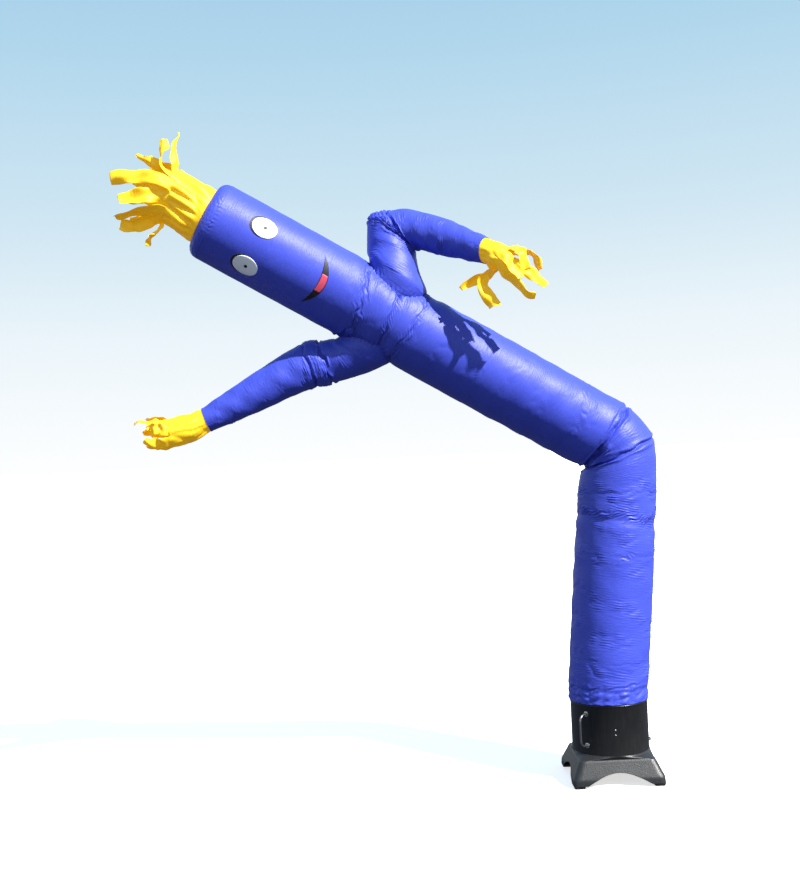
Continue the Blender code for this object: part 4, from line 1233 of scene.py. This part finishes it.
def crescent(spread, margin, steps, across=8):
    """Rows of distance and angle across the mouth, which opens towards the eyes."""
    turn = np.linspace(spread, -spread, steps + 1)[:, None]
    hollow = 1 - (turn / MOUTH_SPREAD) ** 2
    low, high = MOUTH_PLACE - 0.080 * hollow + margin, MOUTH_PLACE - 0.034 * hollow - margin
    side = np.linspace(0.0, 1.0, across + 1)[None, :]
    s = low + (high - low) * side
    return np.stack([s, np.radians(FACE_ANGLE + turn) + 0.0 * side], axis=-1)


def on_face(rows, lift):
    """Points on the body's finished cloth for rows of distance and angle."""
    return trunk().at(body_knot(rows[..., 0]), rows[..., 1], lift)[0]


def outline_of(rows, inset):
    """A closed line just inside the edge of a patch."""
    edge = np.concatenate([rows[:, 0], rows[-1, 1:], rows[::-1, -1][1:], rows[0, ::-1][1:-1]])
    middle = rows.reshape(-1, 2).mean(axis=0)
    size = np.array([1.0, BODY_RADIUS])
    away = (edge - middle) * size
    length = np.maximum(np.linalg.norm(away, axis=1, keepdims=True), 1e-9)
    line = middle + away * np.maximum(1 - inset / length, 0.0) / size
    keep = np.concatenate([[True], np.linalg.norm(np.diff(line * size, axis=0), axis=1) > 0.0004])
    return line[keep]


def eye(side, angle):
    """The three ovals of an eye: each its name, finish, rows and lift off the cloth."""
    return (
        (side + "_eye_rim", "black", oval(2.202, angle, 0.0735, 0.0620), 0.0006),
        (side + "_eye_white", "white", oval(2.191, angle, 0.0705, 0.0590), 0.0016),
        (side + "_pupil", "black", oval(2.187, angle, 0.0095, 0.0095, 12, 8), 0.0027),
    )


EYE_TURN = 31
FACE = eye("right", FACE_ANGLE - EYE_TURN) + eye("left", FACE_ANGLE + EYE_TURN) + (
    ("smile", "black", crescent(MOUTH_SPREAD, 0.0, 48), 0.0006),
    ("lip", "coral", crescent(13.0, 0.004, 18), 0.0017),
)


def make_face():
    """Flat patches sewn on the head."""
    for name, finish, rows, lift in FACE:
        points = on_face(rows, lift)
        faces = quads(np.arange(rows[..., 0].size).reshape(rows.shape[:2]))
        flat = (rows * np.array([1.0, BODY_RADIUS])).reshape(-1, 2)
        points = points.reshape(-1, 3)
        piece = make_piece(name + "_patch", points, faces, shop(finish), flat[faces])
        mend(piece, 0.00002, outwards=False)
        thicken(piece, PATCH_WALL, 1.0)
        settle(piece, finish + "_cloth", name)


def new_tree(name, sockets, result):
    """An empty Geometry Nodes group with its named inputs: its nodes and the start of its links."""
    tree = bpy.data.node_groups.new(name, "GeometryNodeTree")
    for label, kind, value in sockets:
        kind = "NodeSocket" + kind
        socket = tree.interface.new_socket(label, in_out="INPUT", socket_type=kind)
        if value is not None:
            socket.default_value = value
    tree.interface.new_socket(result, in_out="OUTPUT", socket_type="NodeSocketGeometry")
    nodes = Nodes(tree)
    return nodes, nodes.node("NodeGroupInput")


def finish_tree(nodes, laid, material, result):
    """Make the instances real, give them their material and end the group."""
    real = nodes.node("GeometryNodeRealizeInstances", {}, {"Geometry": laid})
    done = {"Geometry": real, "Material": material}
    nodes.node("NodeGroupOutput", {}, {result: nodes.node("GeometryNodeSetMaterial", {}, done)})
    return nodes.tree


STITCH_INPUTS = (
    ("Lines", "Geometry", None),
    ("Pitch", "Float", 0.006),
    ("Stitch Length", "Float", 0.0042),
    ("Thread Radius", "Float", 0.0005),
    ("Seed", "Int", 7),
    ("Thread", "Material", None),
)
QUARTER_TURN = 1.5708


def stitch_tree():
    """Geometry Nodes that lay one stitch after another along every edge line of a mesh."""
    nodes, start = new_tree("stitches", STITCH_INPUTS, "Stitches")
    line = nodes.node("GeometryNodeMeshToCurve", {}, {"Mesh": start.part("Lines")})
    steps = {"Curve": line, "Length": start.part("Pitch")}
    even = nodes.node("GeometryNodeResampleCurve", {"mode": "LENGTH"}, steps)
    radius = start.part("Thread Radius")
    half = start.part("Stitch Length") * 0.5
    size = nodes.node("ShaderNodeCombineXYZ", {}, {"X": half, "Y": radius, "Z": radius})
    bead = nodes.node("GeometryNodeMeshUVSphere", {}, {"Segments": 5, "Rings": 4, "Radius": 1.0})
    lying = {"Geometry": bead, "Rotation": (0.0, QUARTER_TURN, 0.0)}
    turned = nodes.node("GeometryNodeTransform", {}, lying)
    stitch = nodes.node("GeometryNodeTransform", {}, {"Geometry": turned, "Scale": size})
    way = nodes.node("GeometryNodeInputTangent")
    aim = nodes.node("FunctionNodeAlignRotationToVector", {"axis": "X"}, {"Vector": way})
    uneven = {"Seed": start.part("Seed"), 2: 0.85, 3: 1.10}
    vary = nodes.node("FunctionNodeRandomValue", {"data_type": "FLOAT"}, uneven, output=1)
    places = {"Points": even, "Instance": stitch, "Rotation": aim, "Scale": vary}
    laid = nodes.node("GeometryNodeInstanceOnPoints", {}, places)
    return finish_tree(nodes, laid, start.part("Thread"), "Stitches")


def run_tree(name, tree, source, values, material):
    """Run a Geometry Nodes tree on an object and keep the result as a plain mesh."""
    modifier = source.modifiers.new(tree.name, "NODES")
    modifier.node_group = tree
    for item in tree.interface.items_tree:
        if item.item_type == "SOCKET" and item.in_out == "INPUT" and item.name in values:
            modifier[item.identifier] = values[item.name]
    graph = bpy.context.evaluated_depsgraph_get()
    graph.update()
    mesh = bpy.data.meshes.new_from_object(source.evaluated_get(graph))
    mesh.name = name
    source.modifiers.remove(modifier)
    bpy.data.objects.remove(source)
    mesh.materials.clear()
    mesh.materials.append(material)
    mesh.shade_smooth()
    if not len(mesh.polygons):
        raise RuntimeError(f"{name} came out empty")
    return show(name, mesh)


def sew(name, slot, lines, pitch, length, radius, thread):
    """Stitches along closed lines of points."""
    points, edges = [], []
    for line in lines:
        start = len(points)
        points += (line + HUB).tolist()
        edges += [(start + k, start + k + 1) for k in range(len(line) - 1)]
        edges.append((len(points) - 1, start))
    mesh = bpy.data.meshes.new(name + "_lines")
    mesh.from_pydata(points, edges, [])
    tree = bpy.data.node_groups.get("stitches") or stitch_tree()
    values = {"Pitch": pitch, "Stitch Length": length, "Thread Radius": radius, "Seed": 7}
    values["Thread"] = shop(thread)
    settle(run_tree(name, tree, show(mesh.name, mesh), values, shop(thread)), slot)


LINE_POINTS = 400
HEM_SPAN = (0.4568, 0.509)
HEM_SEAMS = (0.4605, 0.4655)
HEAD_SEAMS = (0.0045, 0.0095)


def make_stitches():
    """Threads of the hem, the head's seam, the arms' roots, the cuffs, the hair and the face."""
    turns = np.linspace(0.0, 2 * np.pi, LINE_POINTS, endpoint=False)
    whole = trunk()

    def round_at(tube, place, lift=0.0002):
        return tube.at(np.full(LINE_POINTS, place), turns, lift)[0]

    lines = [round_at(whole, np.interp(z, HEM_SPAN, whole.knots[3:5])) for z in HEM_SEAMS]
    for back in HEAD_SEAMS:
        lines.append(whole.at(body_knot(np.full(LINE_POINTS, HEAD_SEAM - back)), turns, 0.0002)[0])
    for side in ("right", "left"):
        arm = arm_tube(side)
        seam_turns, seam_places, _ = arm_root(side)
        lines.append(arm.at(seam_places + 0.006, seam_turns, 0.0003)[0])
        lines.append(round_at(arm, arm.knots[-1] - 0.006))
    crown = crown_tube()
    lines.append(round_at(crown, crown.knots[-1] - 0.005))
    sew("blue_stitches", "blue_cloth", lines, 0.0048, 0.0036, 0.00042, "blue_thread")
    lines = []
    for name, _, rows, lift in FACE:
        if name in ("smile", "right_eye_rim", "left_eye_rim"):
            lines.append(on_face(outline_of(rows, 0.0022), lift + 0.0006))
    sew("face_stitches", "black_cloth", lines, 0.0036, 0.0028, 0.00032, "black_thread")


DUCT_RADIUS = 0.2215
DUCT_FOOT = 0.168
DUCT_TOP = 0.505


def rounded(outline, radius, steps=5):
    """A closed outline of (radius, height) with its corners rounded."""
    outline = np.array(outline, dtype=float)
    points = []
    for k in range(len(outline)):
        corner = outline[k]
        before, after = outline[k - 1] - corner, outline[(k + 1) % len(outline)] - corner
        reach = min(radius, 0.45 * np.linalg.norm(before), 0.45 * np.linalg.norm(after))
        start, end = corner + unit(before) * reach, corner + unit(after) * reach
        for m in range(steps + 1):
            t = m / steps
            points.append(start * (1 - t) ** 2 + corner * (2 * t * (1 - t)) + end * t * t)
    return np.array(points)


def lathe(name, profile, sides, material, origin=(0, 0, 0), axis=(0, 0, 1), sharp=35.0, closed=True):
    """A turned piece from its outline of radius and height along an axis."""
    profile = np.array(profile)
    turns = np.linspace(0.0, 2 * np.pi, sides, endpoint=False)
    turn = np.array(Vector((0, 0, 1)).rotation_difference(Vector(axis)).to_matrix())
    ring = np.stack([np.cos(turns), np.sin(turns), 0 * turns], axis=1)
    radii, heights = profile.T[:, :, None, None]
    points = radii * ring + heights * np.array([0, 0, 1.0])
    points = points @ turn.T + np.array(origin)
    index = ring_index(len(profile), sides)
    if closed:
        index = np.concatenate([index, index[:1]])
    piece = make_piece(name, points.reshape(-1, 3), quads(index), material)
    mend(piece, 0.00001)
    smooth(piece, sharp)
    return piece


def make_duct():
    """The round duct, with its rolled lip under the hem."""
    r, inside = DUCT_RADIUS, DUCT_RADIUS - 0.004
    turns = np.linspace(0.1, np.pi, 12)
    bead = [(r + 0.0002 + 0.0042 * np.sin(a), 0.4480 - 0.0045 * np.cos(a)) for a in turns]
    profile = [(inside, DUCT_FOOT), (r - 0.0008, DUCT_FOOT), (r, DUCT_FOOT + 0.0008), (r, 0.180), (r, 0.4425)]
    profile += bead + [(r + 0.0032, 0.4545), (r + 0.0032, 0.499), (r, DUCT_TOP), (inside, DUCT_TOP)]
    profile += [(inside, 0.35), (inside, 0.20)]
    piece = lathe("duct", profile, 192, shop("collar"), sharp=40.0)
    settle(piece, "collar_plastic", "blower_collar")


BASE_FOOT, ARCH_TOP, FLARE_TOP, BASE_TOP = 0.0163, 0.118, 0.134, 0.1677
ARCH_RISE, ARCH_REACH, RIM_INSET = 0.082, 0.205, 0.925
BASE_ROWS = (
    # height, half width, corner radius
    (BASE_FOOT, 0.2620, 0.030),
    (0.0320, 0.2612, 0.032),
    (0.0480, 0.2600, 0.034),
    (0.0560, 0.2570, 0.034),
    (0.1290, 0.2232, 0.032),
    (0.1345, 0.2208, 0.0315),
    (0.1385, 0.2188, 0.031),
    (0.1420, 0.2168, 0.031),
    (0.1450, 0.2145, 0.036),
    (0.1475, 0.2140, 0.056),
    (0.1500, 0.2150, 0.088),
    (0.1560, 0.2185, 0.150),
    (0.1615, 0.2210, 0.195),
    (BASE_TOP, 0.2225, 0.2225),
)


def base_points(z, turns):
    """The base's outline at heights, round corners included."""
    table = np.array(BASE_ROWS)
    half = np.interp(z, table[:, 0], table[:, 1])
    corner = np.interp(z, table[:, 0], table[:, 2])
    c, s = np.cos(turns), np.sin(turns)
    reach = half / np.maximum(np.abs(c), np.abs(s))
    flat = np.stack([c * reach, s * reach], axis=-1)
    limit = (half - corner)[..., None]
    core = np.clip(flat, -limit, limit)
    out = flat - core
    length = np.linalg.norm(out, axis=-1, keepdims=True)
    out = np.where(length > 1e-9, out / np.maximum(length, 1e-9) * corner[..., None], out)
    return np.concatenate([core + out, z[..., None]], axis=-1)


def make_base():
    """The flared base with its four arches, moulded as one wall."""
    per_side = 56
    turns = (np.arange(4 * per_side) + 0.5) / per_side * np.pi / 2 - np.pi / 4
    beside = np.tan(((turns + np.pi / 4) % (np.pi / 2)) - np.pi / 4)
    low = np.full(turns.shape, BASE_FOOT)
    for _ in range(6):
        half = np.interp(low, (BASE_FOOT, 0.048, FLARE_TOP), (0.262, 0.260, 0.221))
        arch = ARCH_RISE * np.cos(np.pi / 2 * np.clip(beside * half / ARCH_REACH, -1, 1))
        low = np.maximum(BASE_FOOT, arch)
    share = np.linspace(0.0, 1.0, 17)[:, None]
    heights = low + (ARCH_TOP - low) * share
    above = (np.linspace(ARCH_TOP, FLARE_TOP, 6), np.linspace(FLARE_TOP, BASE_TOP, 26))
    table = np.concatenate([part[1:] for part in above])
    heights = np.concatenate([heights, np.repeat(table[:, None], len(turns), axis=1)])
    points = base_points(heights, np.broadcast_to(turns, heights.shape))
    rim = points[-1] * np.array([RIM_INSET, RIM_INSET, 1.0])
    points = np.concatenate([points, rim[None]])
    faces = quads(ring_index(*points.shape[:2]))[:, ::-1]
    piece = make_piece("moulded_base", points.reshape(-1, 3), faces, shop("base"))
    thicken(piece, BASE_WALL)
    soft = piece.modifiers.new("edges", "BEVEL")
    soft.width = 0.0016
    soft.segments = 3
    soft.limit_method = "ANGLE"
    soft.angle_limit = np.radians(50)
    settle(piece, "base_plastic", "blower_base")


# Half width and height up a rubber foot
FOOT_ROWS = (
    (0.0265, 0.0), (0.0288, 0.0006), (0.0296, 0.0025), (0.0318, 0.0100), (0.0322, 0.0108),
    (0.0318, 0.0116), (0.0336, 0.0148), (0.0334, 0.0157), (0.0326, 0.0160),
)
FOOT_POINTS, FOOT_CORNER, FOOT_PLACE = 64, 0.011, 0.226


def make_feet():
    """Four ribbed rubber blocks under the corners."""
    turns = (np.arange(FOOT_POINTS) + 0.5) / (FOOT_POINTS / 4) * np.pi / 2 - np.pi / 4
    c, s = np.cos(turns), np.sin(turns)
    faces = [face[::-1] for face in capped_faces(len(FOOT_ROWS), FOOT_POINTS)]
    for name, x, y in (
        ("foot_front_left", -1, -1),
        ("foot_front_right", 1, -1),
        ("foot_back_left", -1, 1),
        ("foot_back_right", 1, 1),
    ):
        loops = []
        for half, z in FOOT_ROWS:
            flat = np.stack([c, s], axis=1) * (half / np.maximum(np.abs(c), np.abs(s)))[:, None]
            core = np.clip(flat, -(half - FOOT_CORNER), half - FOOT_CORNER)
            spread = core + unit(flat - core) * FOOT_CORNER + FOOT_PLACE * np.array([x, y])
            loops.append(np.concatenate([spread, np.full((FOOT_POINTS, 1), z)], axis=1))
        block = make_piece("rubber_" + name, np.array(loops).reshape(-1, 3), faces, shop("rubber"))
        smooth(block, 35)
        settle(block, "foot_rubber", name)


def duct_place(angle, height, out=0.0):
    """A point on the duct's outside and the direction out of it."""
    outward = np.array([np.sin(np.radians(angle)), -np.cos(np.radians(angle)), 0.0])
    return outward * (DUCT_RADIUS + out) + np.array([0.0, 0.0, height]), outward


HANDLE_ANGLE = -46
HANDLE_ENDS = (("upper", 0.398, -1), ("lower", 0.219, 1))
HANDLE_REACH, HANDLE_BEND, HANDLE_RADIUS, HANDLE_SIDES = 0.058, 0.036, 0.0065, 24
MOUNT_OUTLINE = ((0.0, 0.0), (0.0150, 0.0), (0.0150, 0.0016), (0.0095, 0.0023), (0.0, 0.0023))


def make_handle():
    """A bent round bar between two mounts."""
    path = []
    for _, height, sign in HANDLE_ENDS:
        start, outward = duct_place(HANDLE_ANGLE, height, 0.0035)
        leg = [start]
        for turn in np.linspace(0.0, np.pi / 2, 15):
            out = HANDLE_REACH - HANDLE_BEND + HANDLE_BEND * np.sin(turn)
            level = height + sign * HANDLE_BEND * (1 - np.cos(turn))
            leg.append(duct_place(HANDLE_ANGLE, level, out)[0])
        path += leg if sign < 0 else leg[::-1]
    path = np.array(path)
    around = np.cross(outward, [0.0, 0.0, 1.0])
    turns = np.linspace(0.0, 2 * np.pi, HANDLE_SIDES, endpoint=False)
    loops = []
    for k, point in enumerate(path):
        ahead = unit(path[min(k + 1, len(path) - 1)] - path[max(k - 1, 0)])
        side = np.cross(ahead, around)
        ring = np.cos(turns)[:, None] * side + np.sin(turns)[:, None] * around
        loops.append(point + ring * HANDLE_RADIUS)
    faces = capped_faces(len(path), HANDLE_SIDES)
    bar = make_piece("handle_bar", np.array(loops).reshape(-1, 3), faces, shop("dark_steel"))
    mend(bar)
    smooth(bar, 50)
    settle(bar, "bright_steel", "handle")
    plate = rounded(MOUNT_OUTLINE, 0.0006, 3)
    for name, height, _ in HANDLE_ENDS:
        seat, outward = duct_place(HANDLE_ANGLE, height, 0.0005)
        piece = lathe(name + "_mount_plate", plate, 48, shop("steel"), seat, outward, closed=False)
        settle(piece, "bright_steel", name + "_handle_mount")


SCREW_INPUTS = (("Places", "Geometry", None), ("Head", "Object", None), ("Metal", "Material", None))


def screw_tree():
    """Geometry Nodes that set a screw head on every point of a mesh, along its own direction."""
    nodes, start = new_tree("screws", SCREW_INPUTS, "Screws")
    head = nodes.node("GeometryNodeObjectInfo", {}, {"Object": start.part("Head")}, "Geometry")
    named = {"data_type": "FLOAT_VECTOR"}
    way = nodes.node("GeometryNodeInputNamedAttribute", named, {"Name": "outward"})
    aim = nodes.node("FunctionNodeAlignRotationToVector", {"axis": "Z"}, {"Vector": way})
    places = {"Points": start.part("Places"), "Instance": head, "Rotation": aim}
    laid = nodes.node("GeometryNodeInstanceOnPoints", {}, places)
    return finish_tree(nodes, laid, start.part("Metal"), "Screws")


SCREW_ROWS = ((0.0045, 0.0), (0.0045, 0.0006), (0.0040, 0.0014), (0.0030, 0.0020), (0.0018, 0.0022))


def screw_head():
    """A pan head with a cross recess, lying on Z = 0."""
    bm = bmesh.new()
    sides = 24
    turns = np.arange(sides) * 2 * np.pi / sides
    loops = [[bm.verts.new((r * np.cos(t), r * np.sin(t), z)) for t in turns] for r, z in SCREW_ROWS]
    centre = bm.verts.new((0, 0, 0.0012))
    for k in range(sides):
        if k % 6 < 2:
            loops[3][k].co.z -= 0.0007
            loops[4][k].co.z -= 0.0010
        after = (k + 1) % sides
        for near, far in zip(loops, loops[1:]):
            bm.faces.new((near[k], near[after], far[after], far[k]))
        bm.faces.new((loops[-1][k], loops[-1][after], centre))
    mesh = bpy.data.meshes.new("screw_head")
    bm.to_mesh(mesh)
    bm.free()
    return show("screw_head", mesh)


SCREW_ANGLE, SCREW_HEIGHTS = -2, (0.315, 0.287)
GLAND_ANGLE, GLAND_HEIGHT = 79, 0.213
GLAND_OUTLINE = (
    (0.0, 0.0), (0.0120, 0.0), (0.0120, 0.0022), (0.0098, 0.0030), (0.0098, 0.0048), (0.0104, 0.0054),
    (0.0092, 0.0062), (0.0098, 0.0070), (0.0086, 0.0078), (0.0090, 0.0088), (0.0062, 0.0100), (0.0, 0.0100),
)


def make_fittings():
    """Two screws in the side of the duct, the lead's gland, and the motor's paint."""
    seats = [duct_place(SCREW_ANGLE, height, 0.0003) for height in SCREW_HEIGHTS]
    mesh = bpy.data.meshes.new("screw_places")
    mesh.from_pydata([tuple(seat + HUB) for seat, _ in seats], [], [])
    attribute = mesh.attributes.new("outward", "FLOAT_VECTOR", "POINT")
    attribute.data.foreach_set("vector", np.array([outward for _, outward in seats]).ravel())
    head = screw_head()
    values = {"Head": head, "Metal": shop("steel")}
    piece = run_tree("side_screws", screw_tree(), show(mesh.name, mesh), values, shop("steel"))
    bpy.data.objects.remove(head)
    settle(piece, "bright_steel", "upper_side_screw", "lower_side_screw")
    seat, outward = duct_place(GLAND_ANGLE, GLAND_HEIGHT, 0.0005)
    cap = rounded(GLAND_OUTLINE, 0.0005, 2)
    gland = lathe("lead_gland_cap", cap, 40, shop("rubber"), seat, outward, closed=False)
    settle(gland, "foot_rubber", "lead_gland")
    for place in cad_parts["motor"].material_slots:
        place.material = shop("motor")


# The sky from straight down, past the horizon at 0.5, to straight up
SKY = (
    (0.0, (0.10, 0.12, 0.17)),
    (0.480, (0.12, 0.14, 0.19)),
    (0.490, (0.99, 1.0, 1.0)),
    (0.505, (0.97, 0.99, 1.0)),
    (0.555, (0.83, 0.91, 0.96)),
    (0.600, (0.64, 0.80, 0.90)),
    (0.675, (0.43, 0.67, 0.84)),
    (0.760, (0.30, 0.52, 0.76)),
    (1.0, (0.14, 0.26, 0.50)),
)


FLOOR_REACH = 400.0
SUN_WAY = Vector((-0.56, 0.47, -0.68))
# The camera was fitted to the photo: place, tilt and roll, and its lens over a frame's height
CAMERA_PLACE = Vector((-1.15, -6.5, 1.94))
CAMERA_TILT, CAMERA_ROLL = np.radians(0.5), np.radians(2.6)
CAMERA_LENS, FRAME_HEIGHT = 1109.0, 885.0
SENSOR = 24.0


def make_light(name, kind, energy, place, way):
    """A light at a place that shines along a way."""
    data = bpy.data.lights.new(name, kind)
    data.energy = energy
    light = show(name, data)
    light.location = place
    light.rotation_euler = way.to_track_quat("-Z", "Y").to_euler()
    return data


def make_stage():
    """Floor, sky, lights and the camera, at the photograph's viewing angle."""
    stage = bpy.context.scene.dancer_stage
    far = FLOOR_REACH
    mesh = bpy.data.meshes.new("floor")
    mesh.from_pydata([(-far, -far, 0), (far, -far, 0), (far, far, 0), (-far, far, 0)], [], [(0, 1, 2, 3)])
    mesh.materials.append(shop("floor"))
    floor = show("floor", mesh)
    # The floor throws no light back up, as over dark ground
    floor.visible_diffuse = floor.visible_glossy = False

    world = bpy.data.worlds.new("sky")
    bpy.context.scene.world = world
    world.use_nodes = True
    sky = Nodes(world.node_tree)
    way = sky.node("ShaderNodeTexCoord")
    up = sky.node("ShaderNodeSeparateXYZ", {}, {"Vector": way}, "Z")
    colour = sky.node("ShaderNodeValToRGB", {"stops": SKY}, {"Fac": up * 0.5 + 0.5})
    background = sky.tree.nodes["Background"].inputs
    sky.fill(background["Color"], colour)
    sky.fill(background["Strength"], stage.sky_strength)
    bpy.context.scene.view_settings.view_transform = "Standard"

    sun = make_light("sun", "SUN", stage.sun_strength, -SUN_WAY * 8, SUN_WAY)
    sun.angle = np.radians(1.2)
    sun.color = (1.0, 0.97, 0.92)
    for name, place, aim, size, power in (
        ("front_fill", (-4.0, -7.0, 4.5), (-0.2, 0.0, 2.0), 5.0, stage.fill_power),
        ("back_rim", (1.0, 6.5, 5.5), (0.0, 0.0, 2.4), 4.0, stage.fill_power * 0.6),
    ):
        make_light(name, "AREA", power, place, Vector(aim) - Vector(place)).size = size

    level, rise = Vector((1, 0, 0)), Vector((0, -np.sin(CAMERA_TILT), np.cos(CAMERA_TILT)))
    right = level * np.cos(CAMERA_ROLL) - rise * np.sin(CAMERA_ROLL)
    up = level * np.sin(CAMERA_ROLL) + rise * np.cos(CAMERA_ROLL)
    data = bpy.data.cameras.new("camera")
    data.sensor_fit = "VERTICAL"
    data.sensor_height = SENSOR
    data.lens = SENSOR * CAMERA_LENS / FRAME_HEIGHT
    data.clip_end = 5 * FLOOR_REACH
    camera = show("camera", data)
    turn = Matrix((right, up, right.cross(up))).transposed().to_4x4()
    camera.matrix_world = Matrix.Translation(CAMERA_PLACE + Vector(HUB)) @ turn
    bpy.context.scene.camera = camera


class DancerClothSettings(bpy.types.PropertyGroup):
    """Colours and finish of the cloth."""

    body_colour: bpy.props.FloatVectorProperty(
        name="Body colour", description="Colour of the tube and the arms", subtype="COLOR",
        size=3, min=0.0, max=1.0, default=(0.043, 0.064, 0.48),
    )
    hair_colour: bpy.props.FloatVectorProperty(
        name="Hair colour", description="Colour of the hair and the hands", subtype="COLOR",
        size=3, min=0.0, max=1.0, default=(0.70, 0.50, 0.010),
    )
    roughness: bpy.props.FloatProperty(
        name="Roughness", description="How matt the blue cloth is", subtype="FACTOR",
        min=0.0, max=1.0, default=0.47,
    )


class DancerBlowerSettings(bpy.types.PropertyGroup):
    """Colours and finish of the blower."""

    duct_colour: bpy.props.FloatVectorProperty(
        name="Duct colour", description="Colour of the round duct", subtype="COLOR",
        size=3, min=0.0, max=1.0, default=(0.0055, 0.0052, 0.0055),
    )
    base_colour: bpy.props.FloatVectorProperty(
        name="Base colour", description="Colour of the moulded base", subtype="COLOR",
        size=3, min=0.0, max=1.0, default=(0.0125, 0.0130, 0.0140),
    )
    duct_roughness: bpy.props.FloatProperty(
        name="Duct roughness", description="How matt the duct is", subtype="FACTOR",
        min=0.0, max=1.0, default=0.34,
    )


class DancerStageSettings(bpy.types.PropertyGroup):
    """Floor and light."""

    floor_colour: bpy.props.FloatVectorProperty(
        name="Floor colour", description="Colour of the floor", subtype="COLOR",
        size=3, min=0.0, max=1.0, default=(0.88, 0.89, 0.90),
    )
    sky_strength: bpy.props.FloatProperty(
        name="Sky strength", description="Brightness of the sky", min=0.0, max=10.0, default=1.0,
    )
    sun_strength: bpy.props.FloatProperty(
        name="Sun strength", description="Brightness of the key light", min=0.0, max=20.0, default=10.0,
    )
    fill_power: bpy.props.FloatProperty(
        name="Fill power", description="Power of the front fill light", unit="POWER",
        min=0.0, max=5000.0, default=30.0,
    )


class DANCER_OT_stage(bpy.types.Operator):
    """Make the floor, the lights and the camera."""

    bl_idname = "dancer.stage"
    bl_label = "Stage"

    def execute(self, context):
        make_stage()
        return {"FINISHED"}


class DANCER_OT_trunk(bpy.types.Operator):
    """Make the cloth of the leg and the body."""

    bl_idname = "dancer.trunk"
    bl_label = "Leg and body"

    def execute(self, context):
        make_trunk()
        return {"FINISHED"}


class DANCER_OT_arms(bpy.types.Operator):
    """Make the cloth of both arms."""

    bl_idname = "dancer.arms"
    bl_label = "Arms"

    def execute(self, context):
        make_arms()
        return {"FINISHED"}


class DANCER_OT_crown(bpy.types.Operator):
    """Make the domed end of the head."""

    bl_idname = "dancer.crown"
    bl_label = "Crown"

    def execute(self, context):
        make_crown()
        return {"FINISHED"}


class DANCER_OT_hair(bpy.types.Operator):
    """Make the streamer hair."""

    bl_idname = "dancer.hair"
    bl_label = "Hair"

    def execute(self, context):
        make_hair()
        return {"FINISHED"}


class DANCER_OT_hands(bpy.types.Operator):
    """Make both streamer hands."""

    bl_idname = "dancer.hands"
    bl_label = "Hands"

    def execute(self, context):
        make_hands()
        return {"FINISHED"}


class DANCER_OT_face(bpy.types.Operator):
    """Make the eyes and the mouth."""

    bl_idname = "dancer.face"
    bl_label = "Face"

    def execute(self, context):
        make_face()
        return {"FINISHED"}


class DANCER_OT_stitches(bpy.types.Operator):
    """Sew the seams."""

    bl_idname = "dancer.stitches"
    bl_label = "Stitches"

    def execute(self, context):
        make_stitches()
        return {"FINISHED"}


class DANCER_OT_duct(bpy.types.Operator):
    """Make the blower's round duct."""

    bl_idname = "dancer.duct"
    bl_label = "Duct"

    def execute(self, context):
        make_duct()
        return {"FINISHED"}


class DANCER_OT_base(bpy.types.Operator):
    """Make the blower's base and feet."""

    bl_idname = "dancer.base"
    bl_label = "Base"

    def execute(self, context):
        make_base()
        make_feet()
        return {"FINISHED"}


class DANCER_OT_handle(bpy.types.Operator):
    """Make the handle and its mounts."""

    bl_idname = "dancer.handle"
    bl_label = "Handle"

    def execute(self, context):
        make_handle()
        return {"FINISHED"}


class DANCER_OT_fittings(bpy.types.Operator):
    """Make the screws and the gland, and paint the motor."""

    bl_idname = "dancer.fittings"
    bl_label = "Fittings"

    def execute(self, context):
        make_fittings()
        return {"FINISHED"}


OPERATORS = (
    DANCER_OT_stage,
    DANCER_OT_trunk,
    DANCER_OT_arms,
    DANCER_OT_crown,
    DANCER_OT_hair,
    DANCER_OT_hands,
    DANCER_OT_face,
    DANCER_OT_stitches,
    DANCER_OT_duct,
    DANCER_OT_base,
    DANCER_OT_handle,
    DANCER_OT_fittings,
)


class DANCER_PT_panel(bpy.types.Panel):
    """Lists the pieces of the air dancer."""

    bl_label = "Air Dancer"
    bl_idname = "DANCER_PT_panel"
    bl_space_type = "VIEW_3D"
    bl_region_type = "UI"
    bl_category = "Dancer"

    def draw(self, context):
        layout = self.layout
        for kind in OPERATORS:
            layout.operator(kind.bl_idname)
        for group in (context.scene.dancer_cloth, context.scene.dancer_blower, context.scene.dancer_stage):
            for key in group.__annotations__:
                layout.prop(group, key)


SETTINGS = (
    ("dancer_cloth", DancerClothSettings),
    ("dancer_blower", DancerBlowerSettings),
    ("dancer_stage", DancerStageSettings),
)


def register():
    """Register the settings, the operators and the panel."""
    for name, group in SETTINGS:
        bpy.utils.register_class(group)
        setattr(bpy.types.Scene, name, bpy.props.PointerProperty(type=group))
    for kind in OPERATORS + (DANCER_PT_panel,):
        bpy.utils.register_class(kind)


def unregister():
    """Undo register."""
    for kind in reversed(OPERATORS + (DANCER_PT_panel,)):
        bpy.utils.unregister_class(kind)
    for name, group in reversed(SETTINGS):
        delattr(bpy.types.Scene, name)
        bpy.utils.unregister_class(group)


def main():
    """Make every piece in order."""
    register()
    for kind in OPERATORS:
        group, name = kind.bl_idname.split(".")
        getattr(getattr(bpy.ops, group), name)()
    bpy.context.view_layer.update()


if __name__ == "__main__":
    main()
